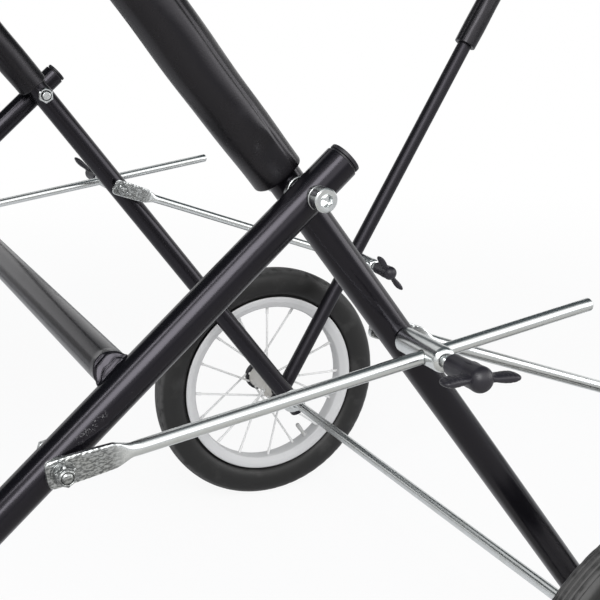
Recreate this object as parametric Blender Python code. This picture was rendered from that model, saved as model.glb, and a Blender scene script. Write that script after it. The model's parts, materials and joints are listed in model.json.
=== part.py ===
"""Bass drum trolley: a folding V-frame on two spoked wheels, with two legs and four sliding braces.

Units are metres. +X points from the legs to the padded arms, +Y from the near side to the far
side and +Z up. The origin lies on the floor under the middle of the trolley's bounding box.
Angles are measured in the XZ plane, from +X towards +Z. An "out" distance is measured from a
main tube's axis, away from the trolley's middle plane.
"""
import math

import bmesh
import bpy
import numpy as np
from mathutils import Matrix, Vector

GAP = 0.0003                 # clearance between pieces that touch
EDGE = 0.0010                # chamfer of small turned pieces
OVERLAP = 0.0002             # how far joined shapes reach into each other
CLEAR = 0.0020               # how far a cutting shape reaches past the face it cuts

# Tubes
TUBE_D = 0.025               # main tubes, legs and their crossbars
TUBE_WALL = 0.0020
ARM_D = 0.020
ARM_WALL = 0.0018
TUBE_SIDES = 16
ROUND_SIDES = 14             # posts, screws, axle and hubs
SMALL_SIDES = 10             # small fasteners and holes
ROD_SIDES = 10
WHEEL_SIDES = 32

# Frame layout, in the XZ plane
FRAME_SPACING = 0.680        # between the two main tubes' axes
MAIN_SLOPE = math.radians(53.4)
LEG_SLOPE = math.radians(40.8)
ARM_SLOPE = math.radians(58.8)
PIVOT_TO_AXLE = 0.546
PIVOT_TO_LEG_BOLT = 0.236
PIVOT_TO_POST = 0.146
AXLE_TO_ARM_POST = 0.219
MAIN_TOP = 0.304             # from the pivot up to the main tube's end
MAIN_FOOT = 0.024            # from the axle down to the main tube's end
LEG_TOP = 0.031
LEG_END_HEIGHT = 0.0150      # middle of a leg's lower end, above the floor
LEG_BAR_AT = 0.171
LEG_BAR_LIFT = 0.009         # the crossbar's axis above the legs' axes
ARM_TOP = 0.850
ARM_FOOT = 0.026
BAR_INSET = 0.050            # crossbars of the main tubes and arms, below the tubes' tops

# Crossbar ends
WELD_LEG = 0.0030            # fillet of the weld bead
WELD_SHAPE = ((2.0, 0.0), (0.7, 0.35), (0.0, 1.0))  # distance from the rail and height, in legs
BAR_END = 0.65               # how deep a bar's blank end reaches, as a share of the rail's radius
BAR_END_WALL = 0.0025
VENT_D = 0.005

# Foam sleeves
FOAM_D = 0.038
ARM_FOAM_D = 0.032
FOAM_LIP = 0.0015
FOAM_START = 0.0140          # from the pivot up to the sleeve
FOAM_INSET = 0.072           # sleeve's upper end, below its tube's top
ARM_FOAM_LENGTH = 0.218
BAR_FOAM_MARGIN = 0.010      # bare crossbar between weld and sleeve
RELIEF_MARGIN = 0.0045       # room in the sleeve round the leg's swinging top

# End caps and feet
CAP_HEAD = 0.0048            # how far a cap stands past its tube
CAP_GROOVE = 0.0014          # gap between the tube's end and the cap's disc
CAP_DISC = 0.94              # disc's diameter, as a share of the tube's
CAP_NECK = 0.86
CAP_INSERT = 0.012
FOOT_D = 0.034
FOOT_GRIP = 0.040            # length of tube inside the foot
FOOT_BEYOND = 0.020
FOOT_LIP = 0.0020

# Pivot screws
PIVOT_SCREW_D = 0.010
PIVOT_HEAD_D = 0.0163
PIVOT_HEAD_H = 0.010
PIVOT_HEX = 0.008
PIVOT_HEX_DEPTH = 0.005
SPACER_D = 0.020             # saddle washer between a main tube and its leg
SADDLE_T = 0.0016            # at the tube's crest
WASHER_T = 0.0016
PIVOT_NUT_H = 0.008
PIVOT_NUT_AF = 0.016
SCREW_PAST_NUT = 0.003

# Braces
ROD_D = 0.010
ROD_REACH = 0.408            # bolt to tip
PADDLE_END = 0.0105          # bolt to the flattened end
PADDLE_W = 0.0185
PADDLE_T = 0.0044
PADDLE_LENGTH = 0.0555
PADDLE_CORNER = 0.0040       # how far the end's corners are clipped
PADDLE_TIP = ((0, 0.56), (0.35, 0.84), (1, 1))  # shares of the clipped length and of the width
PADDLE_TAPER = 0.0135
PADDLE_POWER = 5             # superellipse of the flat section. A round bar's is 2.
ROD_CHAMFER = 0.0015
POST_D = 0.019
POST_REACH = 0.036           # tube surface to the rod's axis
POST_END = 0.054             # tube surface to the post's end
POST_EDGE = 0.0008
POST_NOSE = 0.0042           # rounding of the post's free end
INNER_REACH = 0.0205         # main tube's axis to the inner rods' axis
BRACE_BOLT_D = 0.008
BRACE_WASHER_D = 0.016
BRACE_NUT_AF = 0.013
BRACE_NUT_H = 0.0065
BOLT_HEAD_H = 0.0053
CROWN_H = 0.0045             # a lock nut's crimped crown above its flats
CROWN_SHAPE = ((0.86, 0.0), (0.86, 0.35), (0.62, 0.60), (0.58, 0.85), (0.35, 1.0))

# Wing screws
STUD_D = 0.008
STUD_FREE = 0.0075           # bare thread between the post and the hub
HUB_D = 0.0185
HUB_ROOT_D = 0.0160
HUB_H = 0.0410
HUB_DOME = 0.0075
WING_SPAN = 0.062
WING_T = 0.0070
WING_START = 0.4             # where a wing begins inside the hub, as a share of its radius
WING_FLARE = 0.9             # how much thicker a wing is where it leaves the hub
WING_FADE = 0.18             # share of the wing over which the flare fades
WING_SECTIONS = ((0, 1), (0.22, 1), (0.45, 1), (0.70, 1), (0.90, 0.86), (1, 0.45))
WING_ROOT_FROM = 0.0110      # a wing's edges, measured from the hub's stud end
WING_ROOT_TO = 0.0345
WING_TIP_FROM = 0.0260
WING_TIP_TO = 0.0395
WING_ANGLES = {"leg_near": math.radians(-6), "leg_far": math.radians(-42),
               "arm_near": math.radians(-20), "arm_far": math.radians(-56)}

# Axle and wheels
AXLE_D = 0.012
AXLE_PAST_NUT = 0.004
AXLE_NUT_H = 0.010
AXLE_NUT_AF = 0.019
COLLAR_D = 0.022
COLLAR_L = 0.012
COLLAR_SCREW_D = 0.005
WIDE_WASHER_D = 0.034        # wide washer inside each main tube
AXLE_WASHER_D = 0.024
WHEEL_R = 0.171
TYRE_W = 0.036
RIM_R = 0.131
RIM_INNER_R = 0.1145
RIM_W = 0.029
RIM_WALL = 0.0020
RIM_BEAD = 0.006             # height of the hooked flange that holds the tyre
RIM_STEP = 0.0015            # from the rim's flat inner face to its shoulder
RIM_FLAT, RIM_SHOULDER, RIM_LIP = 0.45, 0.75, 0.94  # shares of the rim's width
RIM_BED, TYRE_SEAT = 0.66, 0.52
TYRE_SEAT_LIFT = 0.0030
TYRE_POWER = 0.62            # roundness of the tyre's section
HUB_LENGTH = 0.076
HUB_WASHER_R = 0.0105
HUB_NECK_R = 0.0097
HUB_BARREL_R = 0.0135
HUB_FLANGE_R = 0.0205
HUB_FLANGE_T = 0.0035
HUB_FILLET = 0.0020
FLANGE_OFFSET = 0.029        # wheel's middle plane to a flange's middle
BUSH_R = 0.0200
BUSH_L = 0.006
SPOKE_COUNT = 16
SPOKE_D = 0.0030
SPOKE_HOLE_R = 0.0170
SPOKE_LEAD = math.radians(43.5)
SPOKE_DISH = 0.10            # a spoke's offset at the rim, as a share of its flange's
NIPPLE_L = 0.011
NIPPLE_D = 0.0048
NIPPLE_STEP = 0.0004
VALVE_D = 0.006
VALVE_L = 0.024
VALVE_ANGLE = math.radians(-57)

TUBE_R, ARM_R, ROD_R, AXLE_R = TUBE_D / 2, ARM_D / 2, ROD_D / 2, AXLE_D / 2
LEG_OUT = TUBE_D + 2 * SADDLE_T + GAP
ROD_OUT = TUBE_R + POST_REACH
ARM_OUT = POST_REACH - INNER_REACH + ARM_R
HUB_OUT = ARM_OUT + ARM_R + WASHER_T + 2 * GAP
WHEEL_OUT = HUB_OUT + HUB_LENGTH / 2
SIDES = {"near": -1, "far": 1}

for leftover in list(bpy.data.objects):
    bpy.data.objects.remove(leftover, do_unlink=True)


# geometry in the XZ plane

def heading(angle):
    """Unit vector at an angle in the XZ plane."""
    return Vector((math.cos(angle), 0.0, math.sin(angle)))


DOWN_MAIN, UP_MAIN = heading(-MAIN_SLOPE), heading(math.pi - MAIN_SLOPE)
DOWN_LEG, UP_LEG = heading(math.pi + LEG_SLOPE), heading(LEG_SLOPE)
UP_ARM = heading(ARM_SLOPE)
PIVOT = Vector((0, 0, PIVOT_TO_AXLE * math.sin(MAIN_SLOPE) + WHEEL_R))
AXLE = PIVOT + PIVOT_TO_AXLE * DOWN_MAIN
POST_ON_MAIN = PIVOT + PIVOT_TO_POST * DOWN_MAIN
LEG_BOLT = PIVOT + PIVOT_TO_LEG_BOLT * DOWN_LEG
POST_ON_ARM = AXLE + AXLE_TO_ARM_POST * UP_ARM
LEG_LENGTH = (PIVOT.z - LEG_END_HEIGHT) / math.sin(LEG_SLOPE)


def at(point, side, out):
    """A point of the XZ plane, moved to its side's plane and out from the main tube."""
    return Vector((point.x, side * (FRAME_SPACING / 2 + out), point.z))


# modelling tools

def material(name, colour, roughness, metallic):
    shade = bpy.data.materials.new(name)
    shade.use_nodes = True
    shader = shade.node_tree.nodes["Principled BSDF"]
    shader.inputs["Base Color"].default_value = (*colour, 1)
    shader.inputs["Roughness"].default_value = roughness
    shader.inputs["Metallic"].default_value = metallic
    return shade


BLACK_COAT = material("black_coat", (0.012, 0.011, 0.014), 0.32, 0.0)
FOAM = material("foam", (0.020, 0.020, 0.022), 0.85, 0.0)
BLACK_PLASTIC = material("black_plastic", (0.015, 0.015, 0.016), 0.42, 0.0)
ZINC = material("zinc", (0.72, 0.74, 0.76), 0.22, 1.0)
RUBBER = material("rubber", (0.018, 0.017, 0.017), 0.80, 0.0)
RIM_GREY = material("rim_grey", (0.55, 0.55, 0.54), 0.38, 0.6)
HUB_GREY = material("hub_grey", (0.62, 0.60, 0.56), 0.35, 0.3)


def finish(name, bm, shade, smooth=35):
    """Turns a bmesh into a named object."""
    bmesh.ops.recalc_face_normals(bm, faces=bm.faces)
    mesh = bpy.data.meshes.new(name)
    bm.to_mesh(mesh)
    bm.free()
    mesh.shade_smooth()
    mesh.set_sharp_from_angle(angle=math.radians(smooth))
    mesh.materials.append(shade)
    obj = bpy.data.objects.new(name, mesh)
    bpy.context.collection.objects.link(obj)
    return obj


def turned(name, profile, shade, sides=TUBE_SIDES):
    """Spins a profile of (radius, height) points about Z.

    A profile that starts off the axis is closed into a ring.
    """
    bm = bmesh.new()
    verts = [bm.verts.new((r, 0, h)) for r, h in profile]
    pairs = list(zip(verts, verts[1:]))
    if profile[0][0] > 0:
        pairs.append((verts[-1], verts[0]))
    edges = [bm.edges.new(pair) for pair in pairs]
    bmesh.ops.spin(bm, geom=verts + edges, cent=(0, 0, 0), axis=(0, 0, 1), dvec=(0, 0, 0),
                   angle=math.tau, steps=sides, use_merge=True, use_duplicate=False)
    bmesh.ops.remove_doubles(bm, verts=bm.verts, dist=1e-6)
    return finish(name, bm, shade)


def along(direction):
    """Rotation that turns +Z to a direction."""
    return Vector(direction).to_track_quat("Z", "Y").to_matrix().to_4x4()


def outward(side, point, out):
    """Frame whose +Z points outward along Y, at a distance out from the main tube."""
    return Matrix.Translation(at(point, side, out)) @ along((0, side, 0))


def ring(inner, outer, bottom, top):
    return [(inner, bottom), (outer, bottom), (outer, top), (inner, top)]


def rod_profile(radius, bottom, top, edge=0.0):
    """Solid round bar with chamfered ends."""
    if edge:
        return [(0, bottom), (radius - edge, bottom), (radius, bottom + edge),
                (radius, top - edge), (radius - edge, top), (0, top)]
    return [(0, bottom), (radius, bottom), (radius, top), (0, top)]


def cutter(name, mesh_object):
    """Marks an object as a tool that only cuts."""
    mesh_object.name = name
    mesh_object.hide_render = True
    mesh_object.display_type = "WIRE"
    return mesh_object


def cut(target, tool, operation="DIFFERENCE"):
    boolean = target.modifiers.new(tool.name, "BOOLEAN")
    boolean.operation = operation
    boolean.solver = "EXACT"
    boolean.object = tool
    return target


def drill(target, radius, where, length=0.06, sides=SMALL_SIDES):
    """Bores a round hole along the frame's Z, centred on its origin."""
    tool = turned("tool", rod_profile(radius, -length / 2, length / 2), BLACK_COAT, sides)
    tool.matrix_world = where
    return cut(target, cutter(target.name + "_bore", tool))


def cope(target, radius, point, direction, length=0.12):
    """Cuts a saddle that follows a round tube."""
    tool = turned("tool", rod_profile(radius + GAP, -length, length), BLACK_COAT)
    tool.matrix_world = Matrix.Translation(point) @ along(direction)
    return cut(target, cutter(target.name + "_cope", tool))


def hang(obj, parent):
    """Parents an object, with its cutters, and leaves it where it stands."""
    for modifier in obj.modifiers:
        hang(modifier.object, obj)
    obj.parent = parent
    obj.matrix_parent_inverse = parent.matrix_world.inverted()
    return obj


def joint_frame(name, matrix, parent=None):
    """An empty on a joint's axis."""
    empty = bpy.data.objects.new(name, None)
    bpy.context.collection.objects.link(empty)
    empty.matrix_world = matrix
    bpy.context.view_layer.update()
    if parent:
        hang(empty, parent)
        bpy.context.view_layer.update()
    return empty


ROOT = joint_frame("trolley", Matrix())
LEG_FRAME = joint_frame("leg_frame_axis", Matrix.Translation(PIVOT), ROOT)
ARM_FRAME = joint_frame("arm_frame_axis", Matrix.Translation(AXLE), ROOT)


# tubes

def tube(name, start, direction, low, high, radius, wall, holes, parent):
    """Open tube along a direction, from low to high past its start, with cross holes."""
    obj = turned(name, ring(radius - wall, radius, low, high), BLACK_COAT)
    obj.matrix_world = Matrix.Translation(start) @ along(direction)
    for distance, hole in holes:
        drill(obj, hole, Matrix.Translation(start + distance * direction) @ along((0, 1, 0)))
    return hang(obj, parent)


def crossbar(name, point, reach, radius, wall, rail_point, rail_direction, rail_radius, parent):
    """Bar across the trolley, hollow with shut ends, coped and welded to a tube at each end.

    The weld beads are the flared ends. A small vent opens the hollow, underneath.
    """
    end = reach - rail_radius * (1 - BAR_END)
    root = reach - rail_radius - GAP
    bead = [(radius + height * WELD_LEG, -root + away * WELD_LEG) for away, height in WELD_SHAPE]
    lower = [(0, -end), (radius + WELD_LEG / 2, -end)] + bead[::-1]
    upper = [(r, -h) for r, h in lower[::-1]]
    obj = turned(name, lower + upper, BLACK_COAT)
    obj.matrix_world = Matrix.Translation(point) @ along((0, 1, 0))
    hollow = root - BAR_END_WALL - WELD_LEG
    bore = turned("tool", rod_profile(radius - wall, -hollow, hollow), BLACK_COAT)
    bore.matrix_world = obj.matrix_world.copy()
    cut(obj, cutter(name + "_hollow", bore))
    vent = Matrix.Translation(point + Vector((0, hollow * 0.5, -radius)))
    drill(obj, VENT_D / 2, vent, 2 * (wall + CLEAR))
    for side in SIDES.values():
        cope(obj, rail_radius, Vector((rail_point.x, side * reach, rail_point.z)), rail_direction)
    return hang(obj, parent)


def sleeve(name, start, direction, low, high, tube_radius, diameter, parent):
    """Foam sleeve with rounded lips."""
    lip, outer = FOAM_LIP, diameter / 2
    profile = [(tube_radius + GAP, low), (outer - lip, low), (outer, low + lip),
               (outer, high - lip), (outer - lip, high), (tube_radius + GAP, high)]
    obj = turned(name, profile, FOAM)
    obj.matrix_world = Matrix.Translation(start) @ along(direction)
    return hang(obj, parent)


def end_cap(name, point, direction, radius, wall, parent):
    """Plastic end cap: a disc, a narrower neck on the tube's end and an insert inside it."""
    insert, disc, neck = radius - wall - GAP, radius * CAP_DISC, radius * CAP_NECK
    profile = [(0, CAP_HEAD), (disc - EDGE, CAP_HEAD), (disc, CAP_HEAD - EDGE),
               (disc, CAP_GROOVE + GAP), (neck, CAP_GROOVE + GAP), (neck, GAP), (insert, GAP),
               (insert, -CAP_INSERT), (0, -CAP_INSERT)]
    obj = turned(name, profile, BLACK_PLASTIC)
    obj.matrix_world = Matrix.Translation(point) @ along(direction)
    return hang(obj, parent)


def frame_tubes():
    """Main tubes, legs, arms, their crossbars, sleeves, caps and feet."""
    for word, side in SIDES.items():
        main = at(PIVOT, side, 0)
        tube("main_tube_" + word, main, UP_MAIN, -PIVOT_TO_AXLE - MAIN_FOOT, MAIN_TOP,
             TUBE_R, TUBE_WALL, [(0, PIVOT_SCREW_D / 2 + GAP), (-PIVOT_TO_AXLE, AXLE_R + GAP),
                                 (-PIVOT_TO_POST, BRACE_BOLT_D / 2 + GAP)], ROOT)
        foam = sleeve("main_foam_" + word, main, UP_MAIN, FOAM_START, MAIN_TOP - FOAM_INSET,
                      TUBE_R, FOAM_D, ROOT)
        relief = turned("tool", rod_profile(LEG_TOP + CAP_HEAD + RELIEF_MARGIN, 0, FOAM_D), FOAM)
        relief.matrix_world = outward(side, PIVOT, LEG_OUT - TUBE_R - 2 * GAP)
        cut(foam, cutter("relief_" + word, relief))
        hang(foam, ROOT)

        leg = at(PIVOT, side, LEG_OUT)
        tube("leg_tube_" + word, leg, DOWN_LEG, -LEG_TOP, LEG_LENGTH, TUBE_R, TUBE_WALL,
             [(0, PIVOT_SCREW_D / 2 + GAP), (PIVOT_TO_LEG_BOLT, BRACE_BOLT_D / 2 + GAP)],
             LEG_FRAME)
        foot(word, leg + LEG_LENGTH * DOWN_LEG)
        end_cap("main_cap_" + word, main + MAIN_TOP * UP_MAIN, UP_MAIN, TUBE_R, TUBE_WALL, ROOT)
        end_cap("leg_cap_" + word, leg + LEG_TOP * UP_LEG, UP_LEG, TUBE_R, TUBE_WALL, LEG_FRAME)

        arm = at(AXLE, side, ARM_OUT)
        tube("arm_tube_" + word, arm, UP_ARM, -ARM_FOOT, ARM_TOP, ARM_R, ARM_WALL,
             [(0, AXLE_R + GAP), (AXLE_TO_ARM_POST, BRACE_BOLT_D / 2 + GAP)], ARM_FRAME)
        foam_end = ARM_TOP - FOAM_INSET
        sleeve("arm_foam_" + word, arm, UP_ARM, foam_end - ARM_FOAM_LENGTH, foam_end, ARM_R,
               ARM_FOAM_D, ARM_FRAME)
        end_cap("arm_cap_" + word, arm + ARM_TOP * UP_ARM, UP_ARM, ARM_R, ARM_WALL, ARM_FRAME)

    main_bar = PIVOT + (MAIN_TOP - BAR_INSET) * UP_MAIN
    arm_bar = AXLE + (ARM_TOP - BAR_INSET) * UP_ARM
    leg_bar = PIVOT + LEG_BAR_AT * DOWN_LEG + LEG_BAR_LIFT * heading(math.pi / 2 + LEG_SLOPE)
    half = FRAME_SPACING / 2
    crossbar("main_crossbar", main_bar, half, TUBE_R, TUBE_WALL, main_bar, UP_MAIN, TUBE_R, ROOT)
    crossbar("leg_crossbar", leg_bar, half + LEG_OUT, TUBE_R, TUBE_WALL,
             PIVOT + LEG_BAR_AT * DOWN_LEG, UP_LEG, TUBE_R, LEG_FRAME)
    crossbar("arm_crossbar", arm_bar, half + ARM_OUT, ARM_R, ARM_WALL,
             arm_bar, UP_ARM, ARM_R, ARM_FRAME)
    main_reach = half - TUBE_R - 2 * WELD_LEG - BAR_FOAM_MARGIN
    sleeve("main_crossbar_foam", main_bar, Vector((0, 1, 0)), -main_reach, main_reach, TUBE_R,
           FOAM_D, ROOT)
    arm_reach = half + ARM_OUT - ARM_R - 2 * WELD_LEG - BAR_FOAM_MARGIN
    sleeve("arm_crossbar_foam", arm_bar, Vector((0, 1, 0)), -arm_reach, arm_reach, ARM_R,
           ARM_FOAM_D, ARM_FRAME)


def foot(word, end):
    """Rubber foot over a leg's end, cut flat where it stands on the floor."""
    inner, outer, lip = TUBE_R + GAP, FOOT_D / 2, FOOT_LIP
    profile = [(0, FOOT_BEYOND), (outer - lip, FOOT_BEYOND), (outer, FOOT_BEYOND - lip),
               (outer, -FOOT_GRIP + lip), (outer - lip, -FOOT_GRIP), (inner, -FOOT_GRIP),
               (inner, GAP), (0, GAP)]
    obj = turned("leg_foot_" + word, profile, RUBBER)
    obj.matrix_world = Matrix.Translation(end) @ along(DOWN_LEG)
    bm = bmesh.new()
    size = 4 * (FOOT_D + FOOT_BEYOND)
    bmesh.ops.create_cube(bm, size=size)
    floor = finish("floor_cut_" + word, bm, RUBBER)
    floor.matrix_world = Matrix.Translation((end.x, end.y, -size / 2))
    cut(obj, cutter("floor_cut_" + word, floor))
    return hang(obj, LEG_FRAME)


# pivots

def hex_bar(name, across_flats, bottom, top, where, shade=ZINC):
    bm = bmesh.new()
    corner = across_flats / math.sqrt(3)
    lift = Matrix.Translation((0, 0, (top + bottom) / 2))
    bmesh.ops.create_cone(bm, cap_ends=True, segments=6, radius1=corner, radius2=corner,
                          depth=top - bottom)
    obj = finish(name, bm, shade)
    obj.matrix_world = where @ lift
    return obj


def pivots():
    """Spacer, screw, saddle washer and lock nut of each leg pivot."""
    hole = PIVOT_SCREW_D / 2
    spacer_sag = TUBE_R - math.sqrt(TUBE_R ** 2 - (SPACER_D / 2) ** 2)
    saddle_sag = TUBE_R - math.sqrt(TUBE_R ** 2 - (PIVOT_HEAD_D / 2) ** 2)
    head_out = LEG_OUT + TUBE_R + SADDLE_T + 2 * GAP
    nut_out = -TUBE_R - GAP
    for word, side in SIDES.items():
        spacer = turned("pivot_spacer_" + word, ring(hole + GAP, SPACER_D / 2,
                                                     TUBE_R - spacer_sag,
                                                     LEG_OUT - TUBE_R - GAP), ZINC)
        spacer.matrix_world = outward(side, PIVOT, 0)
        cope(spacer, TUBE_R, at(PIVOT, side, 0), UP_MAIN)
        hang(spacer, ROOT)

        washer = turned("pivot_saddle_" + word, ring(hole + GAP, PIVOT_HEAD_D / 2,
                                                     LEG_OUT + TUBE_R - saddle_sag,
                                                     head_out - GAP), ZINC)
        washer.matrix_world = outward(side, PIVOT, 0)
        cope(washer, TUBE_R, at(PIVOT, side, LEG_OUT), UP_LEG)
        hang(washer, LEG_FRAME)

        tail, top = nut_out - PIVOT_NUT_H - SCREW_PAST_NUT, head_out + PIVOT_HEAD_H
        r = PIVOT_HEAD_D / 2
        screw = turned("pivot_screw_" + word, [
            (0, tail), (hole - EDGE, tail), (hole, tail + EDGE), (hole, head_out),
            (r, head_out), (r, top - EDGE), (r - EDGE, top), (0, top)], ZINC, ROUND_SIDES)
        screw.matrix_world = outward(side, PIVOT, 0)
        socket = hex_bar("socket_" + word, PIVOT_HEX, top - PIVOT_HEX_DEPTH, top + CLEAR,
                         outward(side, PIVOT, 0))
        cut(screw, cutter("socket_" + word, socket))
        hang(screw, ROOT)

        nut = hex_bar("pivot_nut_" + word, PIVOT_NUT_AF, nut_out - PIVOT_NUT_H, nut_out,
                      outward(side, PIVOT, 0))
        drill(nut, hole + GAP, outward(side, PIVOT, nut_out - PIVOT_NUT_H / 2), 2 * PIVOT_NUT_H,
              ROUND_SIDES)
        hang(nut, ROOT)


# braces

def brace_frame(name, side, point, out, angle, parent):
    """Empty on a post's axis: +X along the rod to its tip, +Z outward on the far side."""
    turn = Matrix.Rotation(-angle, 4, "Y") @ Matrix.Rotation(-side * math.pi / 2, 4, "X")
    return joint_frame(name, Matrix.Translation(at(point, side, out)) @ turn, parent)


def cap_nut(name, bottom, where):
    """Washer and lock nut with a crimped crown, facing +Z."""
    flats = bottom + WASHER_T
    top = flats + BRACE_NUT_H
    half = BRACE_NUT_AF / 2
    core = half / 2
    crown = [(half * wide, top + CROWN_H * tall) for wide, tall in CROWN_SHAPE]
    nut = turned(name, [(0, bottom), (BRACE_WASHER_D / 2, bottom), (BRACE_WASHER_D / 2, flats),
                        (core, flats), (core, top - EDGE)] + crown + [(0, top + CROWN_H)],
                 ZINC, SMALL_SIDES)
    nut.matrix_world = where
    faces = hex_bar(name + "_faces", BRACE_NUT_AF, flats - WASHER_T / 2, top, where)
    return cut(nut, cutter(name + "_faces", faces), "UNION")


def rod(name, bolt_to_post, frame, nut_sign):
    """Round rod flattened into a paddle, with its bolt's lock nut on the free face.

    The sections are superellipses. They turn from the flat shape to the round one over the
    taper, with a smooth step.
    """
    start, flat_end = -PADDLE_END, PADDLE_LENGTH - PADDLE_END
    half_w, half_t = PADDLE_W / 2, PADDLE_T / 2
    bm = bmesh.new()
    sections = [(start + PADDLE_CORNER * share, half_w * wide, half_t, PADDLE_POWER)
                for share, wide in PADDLE_TIP]
    for step in (0, 0.3, 0.65, 1.0):
        blend = step * step * (3 - 2 * step)
        sections.append((flat_end - PADDLE_TAPER * (1 - step), half_w + (ROD_R - half_w) * blend,
                         half_t + (ROD_R - half_t) * blend,
                         PADDLE_POWER + (2 - PADDLE_POWER) * blend))
    sections += [(ROD_REACH - ROD_CHAMFER, ROD_R, ROD_R, 2),
                 (ROD_REACH, ROD_R - ROD_CHAMFER, ROD_R - ROD_CHAMFER, 2)]
    count, loops = ROD_SIDES, []
    for x, wide, thick, power in sections:
        loop = []
        for step in range(count):
            turn = math.tau * (step + 0.5) / count
            c, s = math.cos(turn), math.sin(turn)
            y = wide * math.copysign(abs(c) ** (2 / power), c)
            z = thick * math.copysign(abs(s) ** (2 / power), s)
            loop.append(bm.verts.new((x - bolt_to_post, y, z)))
        loops.append(loop)
    for one, two in zip(loops, loops[1:]):
        for i in range(count):
            j = (i + 1) % count
            bm.faces.new((one[i], one[j], two[j], two[i]))
    bm.faces.new(loops[0])
    bm.faces.new(loops[-1])
    obj = finish(name, bm, ZINC)
    obj.matrix_world = frame.matrix_world.copy()
    face = Matrix.Translation((-bolt_to_post, 0, 0))
    if nut_sign < 0:
        face = face @ Matrix.Rotation(math.pi, 4, "X")
    nut = cap_nut(name + "_nut", half_t - GAP, frame.matrix_world @ face)
    cut(obj, cutter(name + "_nut", nut), "UNION")
    return hang(obj, frame)


def post(name, frame, crest, shank_end, sign):
    """Swivel post with a cross hole for the rod, on a shank through its tube.

    crest is the distance from the rod's axis down to the tube. sign is +1 where the post
    points along the frame's +Z.
    """
    base, top = -crest + GAP, POST_END - POST_REACH
    r, shank = POST_D / 2, BRACE_BOLT_D / 2
    obj = turned(name, [(0, shank_end), (shank - POST_EDGE, shank_end),
                        (shank, shank_end + POST_EDGE), (shank, base), (r - POST_EDGE, base),
                        (r, base + POST_EDGE), (r, top - POST_NOSE)]
                 + [(r - POST_NOSE * (1 - math.cos(turn)), top - POST_NOSE * (1 - math.sin(turn)))
                    for turn in (math.pi / 6, math.pi / 3, math.pi / 2)] + [(0, top)], ZINC,
                 ROUND_SIDES)
    turn = Matrix() if sign > 0 else Matrix.Rotation(math.pi, 4, "X")
    obj.matrix_world = frame.matrix_world @ turn
    drill(obj, ROD_R + GAP, frame.matrix_world @ Matrix.Rotation(math.pi / 2, 4, "Y"))
    drill(obj, STUD_D / 2 + GAP, obj.matrix_world @ Matrix.Translation((0, 0, top)),
          2 * (top - ROD_R) - GAP)
    return obj, turn


def wing_screw(name, frame, turn, angle):
    """Wing screw whose stud clamps the rod: a domed hub with two wings swept past its dome.

    A wing is lofted from ellipses. Their axial edges run from the root's values to the tip's,
    and their thickness falls from the flared root to the grip.
    """
    seat = ROD_R + 2 * GAP
    root = POST_END - POST_REACH + STUD_FREE
    r, low, top = HUB_D / 2, HUB_ROOT_D / 2, root + HUB_H
    stud, start = STUD_D / 2, r * WING_START
    dome = [(r * math.cos(lean), top - HUB_DOME * (1 - math.sin(lean)))
            for lean in (0, math.pi / 6, math.pi / 3)]
    obj = turned(name, [(0, seat), (stud - EDGE, seat), (stud, seat + EDGE), (stud, root),
                        (low - EDGE, root), (low, root + EDGE)] + dome + [(0, top)],
                 BLACK_PLASTIC, ROUND_SIDES)
    obj.matrix_world = frame.matrix_world @ turn @ Matrix.Rotation(angle, 4, "Z")
    count = 8
    for sign in (-1, 1):
        bm = bmesh.new()
        loops = []
        for share, close in WING_SECTIONS:
            x = sign * (start + (WING_SPAN / 2 - start) * share)
            low_edge = root + WING_ROOT_FROM + (WING_TIP_FROM - WING_ROOT_FROM) * share
            high_edge = root + WING_ROOT_TO + (WING_TIP_TO - WING_ROOT_TO) * share
            middle, half = (low_edge + high_edge) / 2, (high_edge - low_edge) / 2 * close
            thick = WING_T / 2 * (1 + WING_FLARE * math.exp(-share / WING_FADE)) * close
            turns = [math.tau * (step + 0.5) / count for step in range(count)]
            loops.append([bm.verts.new((x, thick * math.sin(turn), middle + half * math.cos(turn)))
                          for turn in turns])
        for one, two in zip(loops, loops[1:]):
            for i in range(count):
                j = (i + 1) % count
                bm.faces.new((one[i], one[j], two[j], two[i]))
        bm.faces.new(loops[0])
        bm.faces.new(loops[-1])
        wing = finish(name + "_wing", bm, BLACK_PLASTIC)
        wing.matrix_world = obj.matrix_world.copy()
        cut(obj, cutter(name + "_wing", wing), "UNION")
    return hang(obj, frame)


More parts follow.
